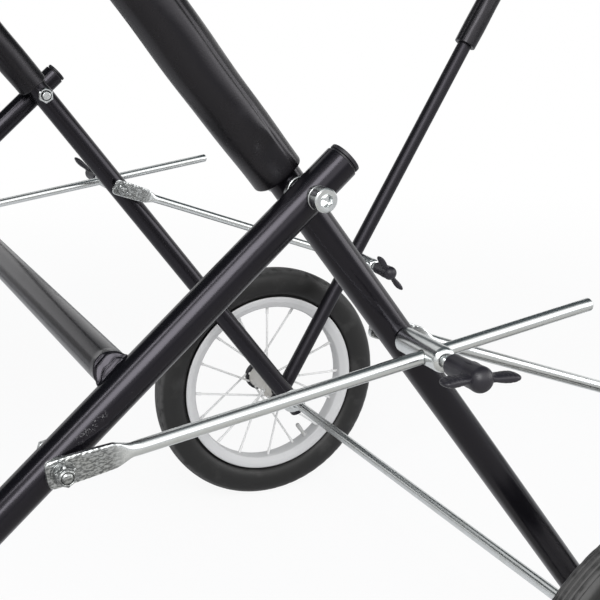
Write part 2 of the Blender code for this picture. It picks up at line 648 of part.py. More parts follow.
def braces():
    """Outer braces hold the legs open, inner braces set the arms' angle."""
    leg_link = POST_ON_MAIN - LEG_BOLT
    arm_link = POST_ON_ARM - POST_ON_MAIN
    for word, side in SIDES.items():
        leg_angle, arm_angle = (math.atan2(link.z, link.x) for link in (leg_link, arm_link))
        frame = brace_frame("leg_brace_axis_" + word, side, POST_ON_MAIN, ROD_OUT, leg_angle,
                            ROOT)
        inner_nut = -ROD_OUT - INNER_REACH + PADDLE_T / 2 + GAP
        name = "leg_brace_post_" + word
        obj, turn = post(name, frame, POST_REACH, inner_nut, 1)
        nut = hex_bar(name + "_nut", BRACE_NUT_AF, inner_nut + OVERLAP, -ROD_OUT - TUBE_R - GAP,
                      frame.matrix_world @ turn)
        cut(obj, cutter(name + "_nut", nut), "UNION")
        hang(obj, frame)
        rod("leg_brace_rod_" + word, leg_link.length, frame, 1)
        wing_screw("leg_brace_wing_screw_" + word, frame, turn,
                   side * (leg_angle - WING_ANGLES["leg_" + word]))

        frame = brace_frame("arm_brace_axis_" + word, side, POST_ON_ARM, -INNER_REACH, arm_angle,
                            ARM_FRAME)
        name = "arm_brace_post_" + word
        shank_end = -POST_REACH - ARM_D - GAP
        obj, turn = post(name, frame, POST_REACH, shank_end - CLEAR, -1)
        nut = cap_nut(name + "_nut", 0.0, frame.matrix_world @ turn @
                      Matrix.Translation((0, 0, shank_end)) @ Matrix.Rotation(math.pi, 4, "X"))
        cut(obj, cutter(name + "_nut", nut), "UNION")
        hang(obj, frame)
        rod("arm_brace_rod_" + word, arm_link.length, frame, -1)
        wing_screw("arm_brace_wing_screw_" + word, frame, turn,
                   side * (WING_ANGLES["arm_" + word] - arm_angle))

        low, high = LEG_OUT - TUBE_R - GAP, LEG_OUT + TUBE_R + GAP
        bolt_r, washer_r = BRACE_BOLT_D / 2, BRACE_WASHER_D / 2
        bolt = turned("leg_brace_bolt_" + word, [
            (0, low - WASHER_T), (washer_r, low - WASHER_T), (washer_r, low), (bolt_r, low),
            (bolt_r, high), (washer_r, high), (washer_r, ROD_OUT - PADDLE_T / 2 - GAP),
            (0, ROD_OUT - PADDLE_T / 2 - GAP)], ZINC, ROUND_SIDES)
        bolt.matrix_world = outward(side, LEG_BOLT, 0)
        head = hex_bar(bolt.name + "_head", BRACE_NUT_AF, low - WASHER_T - BOLT_HEAD_H,
                       low - WASHER_T / 2, bolt.matrix_world)
        cut(bolt, cutter(bolt.name + "_head", head), "UNION")
        hang(bolt, LEG_FRAME)


# axle and wheels

def axle_set():
    reach = FRAME_SPACING / 2 + HUB_OUT + HUB_LENGTH + GAP + AXLE_NUT_H + AXLE_PAST_NUT
    axle = turned("axle", rod_profile(AXLE_R, -reach, reach, EDGE), ZINC, ROUND_SIDES)
    axle.matrix_world = Matrix.Translation(AXLE) @ along((0, 1, 0))
    hang(axle, ROOT)
    for word, side in SIDES.items():
        where = outward(side, AXLE, 0)
        inner = -TUBE_R - GAP
        wide = inner - WASHER_T
        collar = turned("axle_collar_" + word, [
            (AXLE_R + GAP, wide - COLLAR_L), (COLLAR_D / 2 - EDGE, wide - COLLAR_L),
            (COLLAR_D / 2, wide - COLLAR_L + EDGE), (COLLAR_D / 2, wide),
            (WIDE_WASHER_D / 2, wide), (WIDE_WASHER_D / 2, inner), (AXLE_R + GAP, inner)], ZINC)
        collar.matrix_world = where
        drill(collar, COLLAR_SCREW_D / 2, where @ Matrix.Translation(
            (0, COLLAR_D / 2, wide - COLLAR_L / 2)) @ Matrix.Rotation(math.pi / 2, 4, "X"),
            COLLAR_D / 2)
        hang(collar, ROOT)
        low, high = TUBE_R + GAP, ARM_OUT - ARM_R - GAP
        washer = turned("arm_washer_" + word, ring(AXLE_R + GAP, AXLE_WASHER_D / 2, low, high),
                        ZINC, SMALL_SIDES)
        washer.matrix_world = where
        hang(washer, ROOT)
        low = HUB_OUT + HUB_LENGTH + GAP
        nut = hex_bar("axle_nut_" + word, AXLE_NUT_AF, low, low + AXLE_NUT_H, where)
        drill(nut, AXLE_R + GAP, where @ Matrix.Translation((0, 0, low)), 4 * AXLE_NUT_H,
              ROUND_SIDES)
        hang(nut, ROOT)


def spoke_lines():
    """Each spoke's points: bent head in its flange, then straight to its nipple at the rim."""
    tilt = math.atan2(FLANGE_OFFSET, RIM_INNER_R) + math.asin(SPOKE_HOLE_R / RIM_INNER_R) / 2
    seat = RIM_INNER_R * math.cos(math.pi / WHEEL_SIDES) - GAP - NIPPLE_D / 2 * math.sin(tilt)
    for number in range(SPOKE_COUNT):
        flange = 1 if number % 2 else -1
        lead = 1 if (number // 2) % 2 else -1
        rim_angle = math.tau * number / SPOKE_COUNT
        hub_angle = rim_angle + lead * SPOKE_LEAD
        face = flange * FLANGE_OFFSET
        away = lead * flange
        outside = face + away * (HUB_FLANGE_T + SPOKE_D) / 2
        hub = Vector((SPOKE_HOLE_R * math.cos(hub_angle), SPOKE_HOLE_R * math.sin(hub_angle), 0))
        end = Vector((seat * math.cos(rim_angle), seat * math.sin(rim_angle), face * SPOKE_DISH))
        bend = hub + Vector((0, 0, outside))
        line = end - bend
        nipple = bend + line * (1 - NIPPLE_L / line.length)
        yield [(hub + Vector((0, 0, face)), 1.0), (bend, 1.0), (nipple, 1.0),
               (nipple + line.normalized() * NIPPLE_STEP, NIPPLE_D / SPOKE_D),
               (end, NIPPLE_D / SPOKE_D)]


def wheel(word, side):
    """Laced wheel: tyre, rim with its valve, and the hub with its spokes."""
    where = outward(side, AXLE, WHEEL_OUT)
    frame = joint_frame("wheel_axis_" + word, where, ROOT)

    f, w = HUB_FLANGE_T / 2, HUB_LENGTH / 2
    bore, barrel = AXLE_R + GAP, HUB_BARREL_R
    profile = [(bore, -w - WASHER_T - GAP), (HUB_WASHER_R, -w - WASHER_T - GAP),
               (HUB_WASHER_R, -w), (HUB_NECK_R, -w)]
    for face in (-FLANGE_OFFSET, FLANGE_OFFSET):
        profile += [(barrel, face - f - HUB_FILLET), (HUB_FLANGE_R, face - f),
                    (HUB_FLANGE_R, face + f), (barrel, face + f + HUB_FILLET)]
    profile += [(BUSH_R, w - BUSH_L), (BUSH_R, w - EDGE), (BUSH_R - EDGE, w), (bore, w)]
    hub = turned("wheel_hub_" + word, profile, HUB_GREY, ROUND_SIDES)
    hub.matrix_world = where
    curve = bpy.data.curves.new("spokes_" + word, "CURVE")
    curve.dimensions = "3D"
    curve.bevel_depth = SPOKE_D / 2
    curve.bevel_resolution = 1
    curve.use_fill_caps = True
    for points in spoke_lines():
        spline = curve.splines.new("POLY")
        spline.points.add(len(points) - 1)
        for target, (place, swell) in zip(spline.points, points):
            target.co = (*place, 1)
            target.radius = swell
    sweep = bpy.data.objects.new("spoke_sweep", curve)
    bpy.context.collection.objects.link(sweep)
    bpy.context.view_layer.update()
    spokes = bpy.data.objects.new("spokes_" + word, bpy.data.meshes.new_from_object(sweep))
    bpy.data.objects.remove(sweep)
    bpy.context.collection.objects.link(spokes)
    spokes.matrix_world = where
    cut(hub, cutter("spokes_" + word, spokes), "UNION")
    hang(hub, frame)

    half, r0, r1 = RIM_W / 2, RIM_INNER_R, RIM_R
    deep, hook = r0 + RIM_WALL, r1 - RIM_BEAD
    outside = [(r0, -half * RIM_FLAT), (r0 + RIM_STEP, -half * RIM_SHOULDER), (hook, -half),
               (r1, -half * RIM_LIP)]
    inside = [(r1, -half * RIM_LIP + RIM_WALL), (hook, -half + RIM_WALL + GAP),
              (deep + RIM_STEP, -half * RIM_BED)]
    one_side = outside + inside
    rim = turned("wheel_rim_" + word, one_side + [(r, -h) for r, h in one_side[::-1]], RIM_GREY,
                 WHEEL_SIDES)
    rim.matrix_world = where
    valve = turned("valve_" + word, rod_profile(VALVE_D / 2, -EDGE, VALVE_L, EDGE), RIM_GREY,
                   SMALL_SIDES)
    outwards = heading(VALVE_ANGLE)
    foot_point = at(AXLE + r0 * outwards, side, WHEEL_OUT)
    valve.matrix_world = Matrix.Translation(foot_point) @ along(-outwards)
    cut(rim, cutter("valve_" + word, valve), "UNION")
    hang(rim, frame)

    seat = [(deep + TYRE_SEAT_LIFT, -half * TYRE_SEAT), (hook, -half + RIM_WALL + 3 * GAP),
            (r1 + GAP, -half * RIM_LIP + RIM_WALL + 2 * GAP), (r1 + GAP, -half * RIM_LIP)]
    middle, swell, steps = (WHEEL_R + r1) / 2, (WHEEL_R - r1) / 2, 4
    turns = [math.pi * step / steps for step in range(1, steps)]
    bulge = [(middle - swell * math.cos(turn), -TYRE_W / 2 * math.sin(turn) ** TYRE_POWER)
             for turn in turns]
    section = seat + bulge + [(WHEEL_R, 0.0)]
    tyre = turned("wheel_tyre_" + word, section + [(r, -h) for r, h in section[-2::-1]], RUBBER,
                  WHEEL_SIDES)
    tyre.matrix_world = where
    hang(tyre, frame)


def centre_on_floor():
    """Moves the trolley so that its bounding box is centred over the origin."""
    bpy.context.view_layer.update()
    state = bpy.context.evaluated_depsgraph_get()
    reach = []
    for obj in bpy.data.objects:
        if obj.type == "MESH" and not obj.hide_render:
            shape = obj.evaluated_get(state)
            spots = np.empty(3 * len(shape.data.vertices), np.float32)
            shape.data.vertices.foreach_get("co", spots)
            row = np.array(shape.matrix_world)[0]
            across = spots.reshape(-1, 3) @ row[:3] + row[3]
            reach += [across.min(), across.max()]
    ROOT.location.x -= (min(reach) + max(reach)) / 2
    bpy.context.view_layer.update()


frame_tubes()
pivots()
braces()
axle_set()
for side_word, side_sign in SIDES.items():
    wheel(side_word, side_sign)
centre_on_floor()
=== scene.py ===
"""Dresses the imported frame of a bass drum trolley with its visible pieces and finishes.

Lengths are in metres, in the frame's own axes: +X from the legs to the padded arms, +Y from the
near side to the far side, +Z up. "Out" is measured from a main tube's axis, away from the middle
plane. A Place turns local points into the frame: local +Z runs along the piece.
"""

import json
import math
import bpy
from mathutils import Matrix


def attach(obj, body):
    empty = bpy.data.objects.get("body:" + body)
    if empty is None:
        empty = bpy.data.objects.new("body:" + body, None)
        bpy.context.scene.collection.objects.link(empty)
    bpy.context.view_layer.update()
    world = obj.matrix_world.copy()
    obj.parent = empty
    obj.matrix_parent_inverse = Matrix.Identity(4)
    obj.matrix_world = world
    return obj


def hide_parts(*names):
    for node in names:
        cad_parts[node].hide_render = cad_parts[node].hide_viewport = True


bl_info = {
    "name": "Bass Drum Trolley",
    "version": (1, 0, 0),
    "blender": (4, 5, 0),
    "location": "3D View > Sidebar > Trolley",
    "description": "Tubes, foam, braces and wheels of a folding bass drum trolley",
    "category": "Object",
}

import bmesh
import bpy
import numpy as np
from bpy.props import FloatProperty, FloatVectorProperty, IntProperty, PointerProperty
from mathutils import Matrix

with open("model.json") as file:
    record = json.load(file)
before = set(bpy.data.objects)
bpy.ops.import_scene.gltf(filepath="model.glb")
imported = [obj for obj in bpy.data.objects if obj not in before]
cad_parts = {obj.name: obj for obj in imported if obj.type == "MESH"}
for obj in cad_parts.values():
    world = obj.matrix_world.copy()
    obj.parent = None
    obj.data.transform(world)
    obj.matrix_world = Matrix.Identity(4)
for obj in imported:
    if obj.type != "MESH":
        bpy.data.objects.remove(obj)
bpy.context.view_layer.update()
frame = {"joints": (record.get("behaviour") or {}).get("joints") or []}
JOINTS = {joint["name"]: joint for joint in frame["joints"]}

SIDES = {"near": -1, "far": 1}
GAP = 0.0003
HALF_SPACING = 0.340
MAIN_SLOPE, LEG_SLOPE, ARM_SLOPE = map(math.radians, (53.4, 40.8, 58.8))
TUBE_R, TUBE_WALL = 0.0125, 0.0020
ARM_R, ARM_WALL = 0.0100, 0.0018
PIVOT_TO_LEG_BOLT = 0.236
PIVOT_TO_AXLE = 0.546
MAIN_TOP, MAIN_FOOT, MAIN_BAR_AT = 0.304, 0.024, 0.254
LEG_TOP, LEG_END_HEIGHT, LEG_BAR_AT, LEG_BAR_LIFT = 0.031, 0.015, 0.171, 0.009
ARM_TOP, ARM_FOOT, ARM_BAR_AT = 0.850, 0.026, 0.800
LEG_OUT, ROD_OUT, ARM_OUT = 0.0285, 0.0485, 0.0255
HUB_OUT, HUB_LENGTH = 0.0377, 0.076
ROD_R, POST_REACH, POST_END, INNER_REACH = 0.005, 0.036, 0.054, 0.0205
ROD_REACH = 0.408
PADDLE_END, PADDLE_FLAT, PADDLE_NECK = 0.0105, 0.0320, 0.0455
HEAD_R, HEAD_H = 0.00815, 0.010
HUB_ROOT, HUB_TALL = 0.0255, 0.0410
WING_ANGLES = {"leg_brace_near": -6, "leg_brace_far": -42, "arm_brace_near": -20,
               "arm_brace_far": -56}


def heading(angle):
    """Unit vector at an angle in the XZ plane: (cos, 0, sin)."""
    return np.array([math.cos(angle), 0.0, math.sin(angle)])


DOWN_MAIN, UP_MAIN = heading(-MAIN_SLOPE), heading(math.pi - MAIN_SLOPE)
DOWN_LEG, UP_LEG = heading(math.pi + LEG_SLOPE), heading(LEG_SLOPE)
UP_ARM = heading(ARM_SLOPE)
ACROSS = np.array([0.0, 1.0, 0.0])


def joint_point(name):
    """A joint's place in the middle plane."""
    x, _, z = JOINTS[name]["pos_m"]
    return np.array([x, 0.0, z])


PIVOT, AXLE = joint_point("leg_fold"), joint_point("arm_fold")
POST_ON_MAIN = joint_point("leg_brace_swivel_near")
POST_ON_ARM = joint_point("arm_brace_swivel_near")
LEG_BOLT = PIVOT + PIVOT_TO_LEG_BOLT * DOWN_LEG
LEG_LENGTH = (PIVOT[2] - LEG_END_HEIGHT) / math.sin(LEG_SLOPE)
MIDDLE = np.array([0.0, 0.0, 0.45])


def at(point, side, out):
    """A point of the middle plane, moved to its side and out from the main tube."""
    return np.array([point[0], side * (HALF_SPACING + out), point[2]])


def unit(vector):
    vector = np.asarray(vector, float)
    return vector / np.linalg.norm(vector)


class Place:
    """A point with three directions. Local (x, y, z) goes to point + x X + y Y + z Z."""

    def __init__(self, point, along, hint=ACROSS):
        z = unit(along)
        hint = np.asarray(hint, float)
        x = hint - (hint @ z) * z
        x = unit(x) if np.linalg.norm(x) > 1e-6 else unit(np.cross(z, (1.0, 0.3, 0.2)))
        self.point, self.axes = np.asarray(point, float), np.stack([x, np.cross(z, x), z])

    def __call__(self, local):
        return self.point + local @ self.axes


# Surfaces: every grid is an array of shape (rows, columns, 3), closed round its columns

def eased(profile, radius, closed=False, steps=4):
    """Rounds a profile's corners.

    Each corner c becomes the curve (1-t)^2 a + 2t(1-t) c + t^2 b between points a and b that
    lie a radius away on its two edges, and a holding point beyond each keeps the flats flat.
    """
    points = np.asarray(profile, float)
    count, result = len(points), []
    for index, corner in enumerate(points):
        if not closed and index in (0, count - 1):
            result.append(corner[None])
            continue
        before, after = points[index - 1], points[(index + 1) % count]
        back, ahead = before - corner, after - corner
        reach = min(radius, 0.34 * np.linalg.norm(back), 0.34 * np.linalg.norm(ahead))
        a, b = corner + unit(back) * reach, corner + unit(ahead) * reach
        t = np.linspace(0, 1, steps + 1)[:, None]
        arc = (1 - t) ** 2 * a + 2 * t * (1 - t) * corner + t ** 2 * b
        result += [(a + unit(back) * reach * 0.4)[None], arc, (b + unit(ahead) * reach * 0.4)[None]]
    return np.concatenate(result)


def turned(profile, sides=64, flats=None, closed=False):
    """Swings (radius, height) rows round Z: x = r cos t, y = r sin t.

    With flats, each row's radius is cut to a hexagon's edge, flats / cos(t mod 60 - 30 degrees).
    A closed profile repeats its first row at the end.
    """
    rows = np.asarray(profile, float)
    if closed:
        rows = np.concatenate([rows, rows[:1]])
    turn = np.arange(sides) * math.tau / sides
    radius = np.repeat(rows[:, :1], sides, 1)
    if flats is not None:
        edge = flats / np.cos((turn + math.pi / 6) % (math.pi / 3) - math.pi / 6)
        radius = np.minimum(radius, edge[None])
    return np.stack([radius * np.cos(turn), radius * np.sin(turn),
                     np.repeat(rows[:, 1:2], sides, 1)], -1)


def swept(path, radius, sides=12, closed=False):
    """Carries a circle along a path, square to the path's direction at every point."""
    path = np.asarray(path, float)
    radius = np.broadcast_to(radius, len(path))
    if closed:
        ahead = np.roll(path, -1, 0) - np.roll(path, 1, 0)
    else:
        ahead = np.gradient(path, axis=0)
    ahead /= np.linalg.norm(ahead, axis=1)[:, None]
    hint = np.array([0.31, 0.17, 0.93])
    one = np.cross(ahead, hint)
    one /= np.linalg.norm(one, axis=1)[:, None]
    two = np.cross(ahead, one)
    turn = np.arange(sides) * math.tau / sides
    spread = (one[:, None] * np.cos(turn)[:, None] + two[:, None] * np.sin(turn)[:, None])
    grid = path[:, None] + radius[:, None, None] * spread
    return np.concatenate([grid, grid[:1]]) if closed else shut(grid)


def shut(grid):
    """Closes a grid's two ends with a pole at the middle of its first and last rows."""
    first, last = grid[:1].mean(1, keepdims=True), grid[-1:].mean(1, keepdims=True)
    columns = grid.shape[1]
    return np.concatenate([np.repeat(first, columns, 1), grid, np.repeat(last, columns, 1)])


def skin(grids, name):
    """Joins closed grids, each with its own slot number, into one mesh that faces outward."""
    bm = bmesh.new()
    for entry in grids:
        grid, index = entry if isinstance(entry, tuple) else (entry, 0)
        rows, columns = grid.shape[:2]
        ids = np.arange(rows * columns).reshape(rows, columns)
        nxt = np.roll(ids, -1, 1)
        quads = np.stack([ids[:-1], nxt[:-1], nxt[1:], ids[1:]], -1).reshape(-1, 4)
        mesh = bpy.data.meshes.new("part")
        mesh.from_pydata(grid.reshape(-1, 3).tolist(), [], quads.tolist())
        part = bmesh.new()
        part.from_mesh(mesh)
        bmesh.ops.remove_doubles(part, verts=part.verts, dist=1e-7)
        bmesh.ops.dissolve_degenerate(part, edges=part.edges, dist=1e-7)
        bmesh.ops.recalc_face_normals(part, faces=part.faces)
        for face in part.faces:
            face.material_index = index
        part.to_mesh(mesh)
        part.free()
        bm.from_mesh(mesh)
        bpy.data.meshes.remove(mesh)
    mesh = bpy.data.meshes.new(name)
    bm.to_mesh(mesh)
    bm.free()
    return mesh


def piece(name, grids, finish, body, nodes=(), sharp=35):
    """Makes one object of closed grids, rides it on its body and hides the nodes it stands for."""
    mesh = skin(grids, name)
    mesh.shade_smooth()
    mesh.set_sharp_from_angle(angle=math.radians(sharp))
    for one in [finish] if not isinstance(finish, (list, tuple)) else finish:
        mesh.materials.append(one)
    obj = bpy.data.objects.new(name, mesh)
    bpy.context.scene.collection.objects.link(obj)
    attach(obj, body)
    if nodes:
        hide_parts(*nodes)
    return obj


def thread(radius, low, high, pitch, depth, sides=32):
    """Rows of a screw thread: the radius falls and rises once a pitch, a triangle wave of
    height / pitch - angle / 360 degrees."""
    rows = max(8, int((high - low) / pitch * 6))
    height = np.linspace(low, high, rows)[:, None]
    turn = (np.arange(sides) * math.tau / sides)[None]
    wave = np.abs(((height / pitch - turn / math.tau) % 1.0) * 2 - 1)
    r = radius - depth * wave
    grid = np.stack([r * np.cos(turn), r * np.sin(turn), np.repeat(height, sides, 1)], -1)
    return shut(grid)


# Finishes

class Value:
    """A shader number. Python's operators on it add Math nodes to its material."""

    def __init__(self, shade, socket):
        self.shade, self.socket = shade, socket

    def combine(self, operation, first, second=None):
        inputs = {0: first}
        if second is not None:
            inputs[1] = second
        node = self.shade.node("ShaderNodeMath", {"operation": operation}, inputs)
        return Value(self.shade, node.outputs[0])

    def __add__(self, other):
        return self.combine("ADD", self, other)

    def __sub__(self, other):
        return self.combine("SUBTRACT", self, other)

    def __rsub__(self, other):
        return self.combine("SUBTRACT", other, self)

    def __mul__(self, other):
        return self.combine("MULTIPLY", self, other)

    def __truediv__(self, other):
        return self.combine("DIVIDE", self, other)

    def __pow__(self, other):
        return self.combine("POWER", self, other)

    def above(self, low, high):
        """0 below low, 1 above high, smooth between."""
        node = self.shade.node("ShaderNodeMapRange", {"interpolation_type": "SMOOTHSTEP"},
                               {0: self, 1: low, 2: high, 3: 0.0, 4: 1.0})
        return Value(self.shade, node.outputs[0])

    __radd__ = __add__
    __rmul__ = __mul__


class Shade:
    """A material under construction, around one Principled shader."""

    def __init__(self, name, colour, roughness, metallic=0.0, **constants):
        self.material = bpy.data.materials.new(name)
        self.material.use_nodes = True
        self.tree = self.material.node_tree
        self.shader = self.tree.nodes["Principled BSDF"]
        self.set("Base Color", (*colour, 1.0))
        self.set("Roughness", roughness)
        self.set("Metallic", metallic)
        for socket, value in constants.items():
            self.set(socket.replace("_", " "), value)
        self.place = self.node("ShaderNodeTexCoord").outputs["Object"]

    def node(self, kind, settings=None, inputs=None):
        """Adds a node: its settings first, then the values or links of its sockets."""
        node = self.tree.nodes.new(kind)
        for key, value in (settings or {}).items():
            setattr(node, key, value)
        for key, value in (inputs or {}).items():
            self.join(value, node.inputs[key])
        return node

    def join(self, value, socket):
        value = value.socket if isinstance(value, Value) else value
        if isinstance(value, bpy.types.NodeSocket):
            self.tree.links.new(value, socket)
        else:
            socket.default_value = value

    def set(self, socket, value):
        self.join(value, self.shader.inputs[socket])

    def directed(self, direction, along, across):
        """Coordinates stretched along one direction, for drawn or brushed metal."""
        place = Place((0, 0, 0), direction)
        parts = []
        for axis, scale in zip(place.axes, (across, across, along)):
            dot = self.node("ShaderNodeVectorMath", {"operation": "DOT_PRODUCT"},
                            {0: self.place, 1: tuple(axis * scale)})
            parts.append(dot.outputs["Value"])
        return self.node("ShaderNodeCombineXYZ", None, dict(enumerate(parts))).outputs[0]

    def noise(self, scale, detail=2.0, vector=None, roughness=0.5):
        node = self.node("ShaderNodeTexNoise", None, {
            "Vector": vector or self.place, "Scale": scale, "Detail": detail,
            "Roughness": roughness})
        return Value(self, node.outputs["Fac"])

    def cells(self, scale, feature="F1"):
        node = self.node("ShaderNodeTexVoronoi", {"feature": feature},
                         {"Vector": self.place, "Scale": scale})
        return Value(self, node.outputs["Distance"])

    def near(self, point, low, high):
        """1 within low of a point, 0 beyond high."""
        away = self.node("ShaderNodeVectorMath", {"operation": "DISTANCE"},
                         {0: self.place, 1: tuple(float(c) for c in point)})
        return 1.0 - Value(self, away.outputs["Value"]).above(low, high)

    def blend(self, mask, first, second):
        """Colour that goes from first to second with the mask."""
        node = self.node("ShaderNodeMix", {"data_type": "RGBA"}, {"Factor": mask})
        for name, colour in (("A", first), ("B", second)):
            sockets = [s for s in node.inputs if s.name == name and s.type == "RGBA"]
            self.join(colour if not isinstance(colour, tuple) else (*colour, 1.0), sockets[0])
        return [s for s in node.outputs if s.type == "RGBA"][0]

    def bump(self, height, distance, strength=1.0):
        node = self.node("ShaderNodeBump", None, {"Height": height, "Distance": distance,
                                                  "Strength": strength})
        self.set("Normal", node.outputs[0])


def looks():
    return bpy.context.scene.trolley_finishes


def sizes():
    return bpy.context.scene.trolley_sizes


FINISHES = {}


def finish(name, make, *values):
    """Each finish is made once and then shared."""
    if name not in FINISHES:
        FINISHES[name] = make(name, *values)
    return FINISHES[name]


def powder_coat(name, gloss=1.0, scuffed=None):
    """Semi-gloss black powder coat: faint orange peel, a little dust, and a scuffed patch."""
    colour, rough = tuple(looks().coat), looks().coat_roughness / gloss
    shade = Shade(name, colour, rough, Specular_IOR_Level=0.30,
                  Specular_Tint=(0.93, 0.885, 1.0, 1.0))
    peel, cloud = shade.noise(300, 1), shade.noise(26, 2)
    specks = shade.noise(1500, 1).above(0.77, 0.80) * shade.noise(60, 2).above(0.58, 0.68)
    if scuffed is not None:
        patch = sum(shade.near(point, 0.001, 0.0042) for point in scuffed)
        patch = patch * shade.noise(260, 2).above(0.44, 0.54)
        specks = specks + patch * shade.noise(1100, 3, None, 0.7).above(0.55, 0.61)
    pale = tuple(min(1.0, c + 0.15) for c in colour)
    shade.set("Base Color", shade.blend(specks * 0.8, colour, pale))
    shade.set("Roughness", rough + 0.06 * (cloud - 0.5) + specks * 0.3)
    shade.bump(peel + specks * 0.5, 0.000012)
    return shade.material


def foam_skin(name):
    """Closed-cell foam with a smooth moulded skin: soft sheen, fine pores, faint rubbed marks."""
    colour = tuple(looks().foam)
    shade = Shade(name, colour, 0.28, Specular_IOR_Level=0.34, Specular_Tint=(0.96, 0.93, 1.0, 1.0))
    pores, rubbed = shade.cells(1100), shade.noise(60, 3).above(0.50, 0.80)
    lighter = tuple(c * 1.3 + 0.001 for c in colour)
    shade.set("Base Color", shade.blend(rubbed * 0.7, colour, lighter))
    shade.set("Roughness", 0.27 + 0.10 * rubbed)
    shade.bump(pores + 0.5 * shade.noise(320, 2), 0.00003, 0.8)
    return shade.material


def moulded(name, colour, roughness=0.42, grain=900):
    """Moulded plastic or rubber with a fine spark-eroded grain and handling shine."""
    shade = Shade(name, colour, roughness, Specular_IOR_Level=0.36)
    fine, cloud = shade.noise(grain, 2), shade.noise(70, 2)
    worn = tuple(min(1.0, c * 1.4 + 0.002) for c in colour)
    shade.set("Base Color", shade.blend(cloud.above(0.45, 0.8), colour, worn))
    shade.set("Roughness", roughness + 0.16 * (cloud - 0.5) + 0.06 * fine)
    shade.bump(fine, 0.00003)
    return shade.material


def zinc(name, direction=(0, 0, 1), hammered=None):
    """Bright zinc plate, drawn along its length. The paddle's faces are hammered and dull."""
    colour = tuple(looks().zinc)
    shade = Shade(name, colour, looks().zinc_roughness, 1.0)
    lines = shade.noise(1.0, 2, shade.directed(direction, 14, 420))
    cloud = shade.noise(60, 3)
    dull = (colour[0] * 0.70, colour[1] * 0.69, colour[2] * 0.62)
    pits = shade.noise(1300, 2).above(0.72, 0.78) * (0.5 if hammered is None else 0.15)
    base = shade.blend(pits + 0.30 * cloud.above(0.45, 0.75), colour, dull)
    roughness = looks().zinc_roughness + 0.10 * (lines - 0.5) + 0.08 * (cloud - 0.5)
    height, distance = lines * 0.35, 0.000004
    if hammered is not None:
        off = shade.node("ShaderNodeVectorMath", {"operation": "DOT_PRODUCT"},
                         {0: shade.place, 1: (0.0, 1.0, 0.0)})
        rise = Value(shade, off.outputs["Value"]) - float(hammered[1])
        face = rise.combine("ABSOLUTE", rise)
        mask = shade.near(hammered, 0.028, 0.044) * face.above(0.0019, 0.0020)
        blows = shade.cells(300) + 0.6 * shade.noise(480, 3, None, 0.6)
        crust = shade.noise(1.0, 4, shade.directed(direction, 300, 850), 0.7).above(0.46, 0.54)
        base = shade.blend(mask * (0.42 + 0.50 * crust), base, tuple(c * 0.17 for c in colour))
        roughness = roughness + mask * (0.08 + 0.10 * crust)
        height, distance = lines * 0.02 + mask * blows, 0.00022
    shade.set("Base Color", base)
    shade.set("Roughness", roughness)
    shade.bump(height, distance, 0.9)
    return shade.material


def tyre_rubber(name, centre):
    """Tyre rubber: dry, with faint mould lines, dusty patches, and a painted highlight: the tread at
    the crown is painted lighter all round the wheel.
    """
    colour = tuple(looks().rubber)
    shade = Shade(name, colour, 0.44, Specular_IOR_Level=0.38, Sheen_Weight=0.08,
                  Sheen_Roughness=0.35)
    # Painted highlight: the crown's tread is painted lighter all round, standing in for light falling
    # on the top of the tyre; the other noise patches are dusty spots.
    crown = 1.0 - shade.near(centre, 0.1645, 0.1695)
    dust_and_crown_highlight = shade.noise(38, 4).above(0.52, 0.80) * 0.4 + crown * shade.noise(90, 3).above(0.3, 0.6)
    fine = shade.noise(1200, 2)
    # One lighter colour paints both the dusty spots and the crown's painted highlight.
    shade.set("Base Color", shade.blend(dust_and_crown_highlight, colour, (0.060, 0.059, 0.058)))
    shade.set("Roughness", 0.40 + 0.20 * dust_and_crown_highlight + 0.06 * fine)
    shade.bump(fine + 0.4 * shade.noise(240, 2), 0.00006)
    return shade.material


def rim_paint(name, colour, roughness=0.36, metallic=0.0):
    """Silver-grey lacquer with fine flake and light handling marks."""
    shade = Shade(name, colour, roughness, metallic)
    flake, marks = shade.noise(2400, 1), shade.noise(55, 3).above(0.55, 0.8)
    dirty = tuple(c * 0.80 for c in colour)
    shade.set("Base Color", shade.blend(0.25 * flake + 0.30 * marks, colour, dirty))
    shade.set("Roughness", roughness + 0.10 * marks + 0.05 * flake)
    shade.bump(flake, 0.00001)
    return shade.material


def black_coat():
    return finish("powder_coat", powder_coat)


def handled_coat():
    """The coat of the tubes that are held and rubbed more: a little duller."""
    return finish("powder_coat_handled", powder_coat, 0.55)


def scuffed_coat():
    """The near leg's coat, rubbed along a short stretch where the rod swings past."""
    skin_point = np.array([-0.141, -0.976, 0.163]) * TUBE_R
    points = [at(PIVOT + reach * DOWN_LEG, -1, LEG_OUT) + skin_point
              for reach in np.arange(0.195, 0.216, 0.005)]
    return finish("powder_coat_scuffed", powder_coat, 1.0, points)


def black_plastic():
    return finish("moulded_plastic", moulded, tuple(looks().plastic))


def wing_plastic():
    return finish("wing_plastic", moulded, tuple(looks().wing), 0.36)


def plain_zinc():
    return finish("zinc_plate", zinc)


# Tubes

def tube_grid(place, low, high, radius, wall, sides=72):
    """Tube: a ring section with eased edges, swung round its axis and closed on itself."""
    section = [(radius - wall, low), (radius, low), (radius, high), (radius - wall, high)]
    return place(turned(eased(section, 0.0005, True, 3), sides, closed=True))


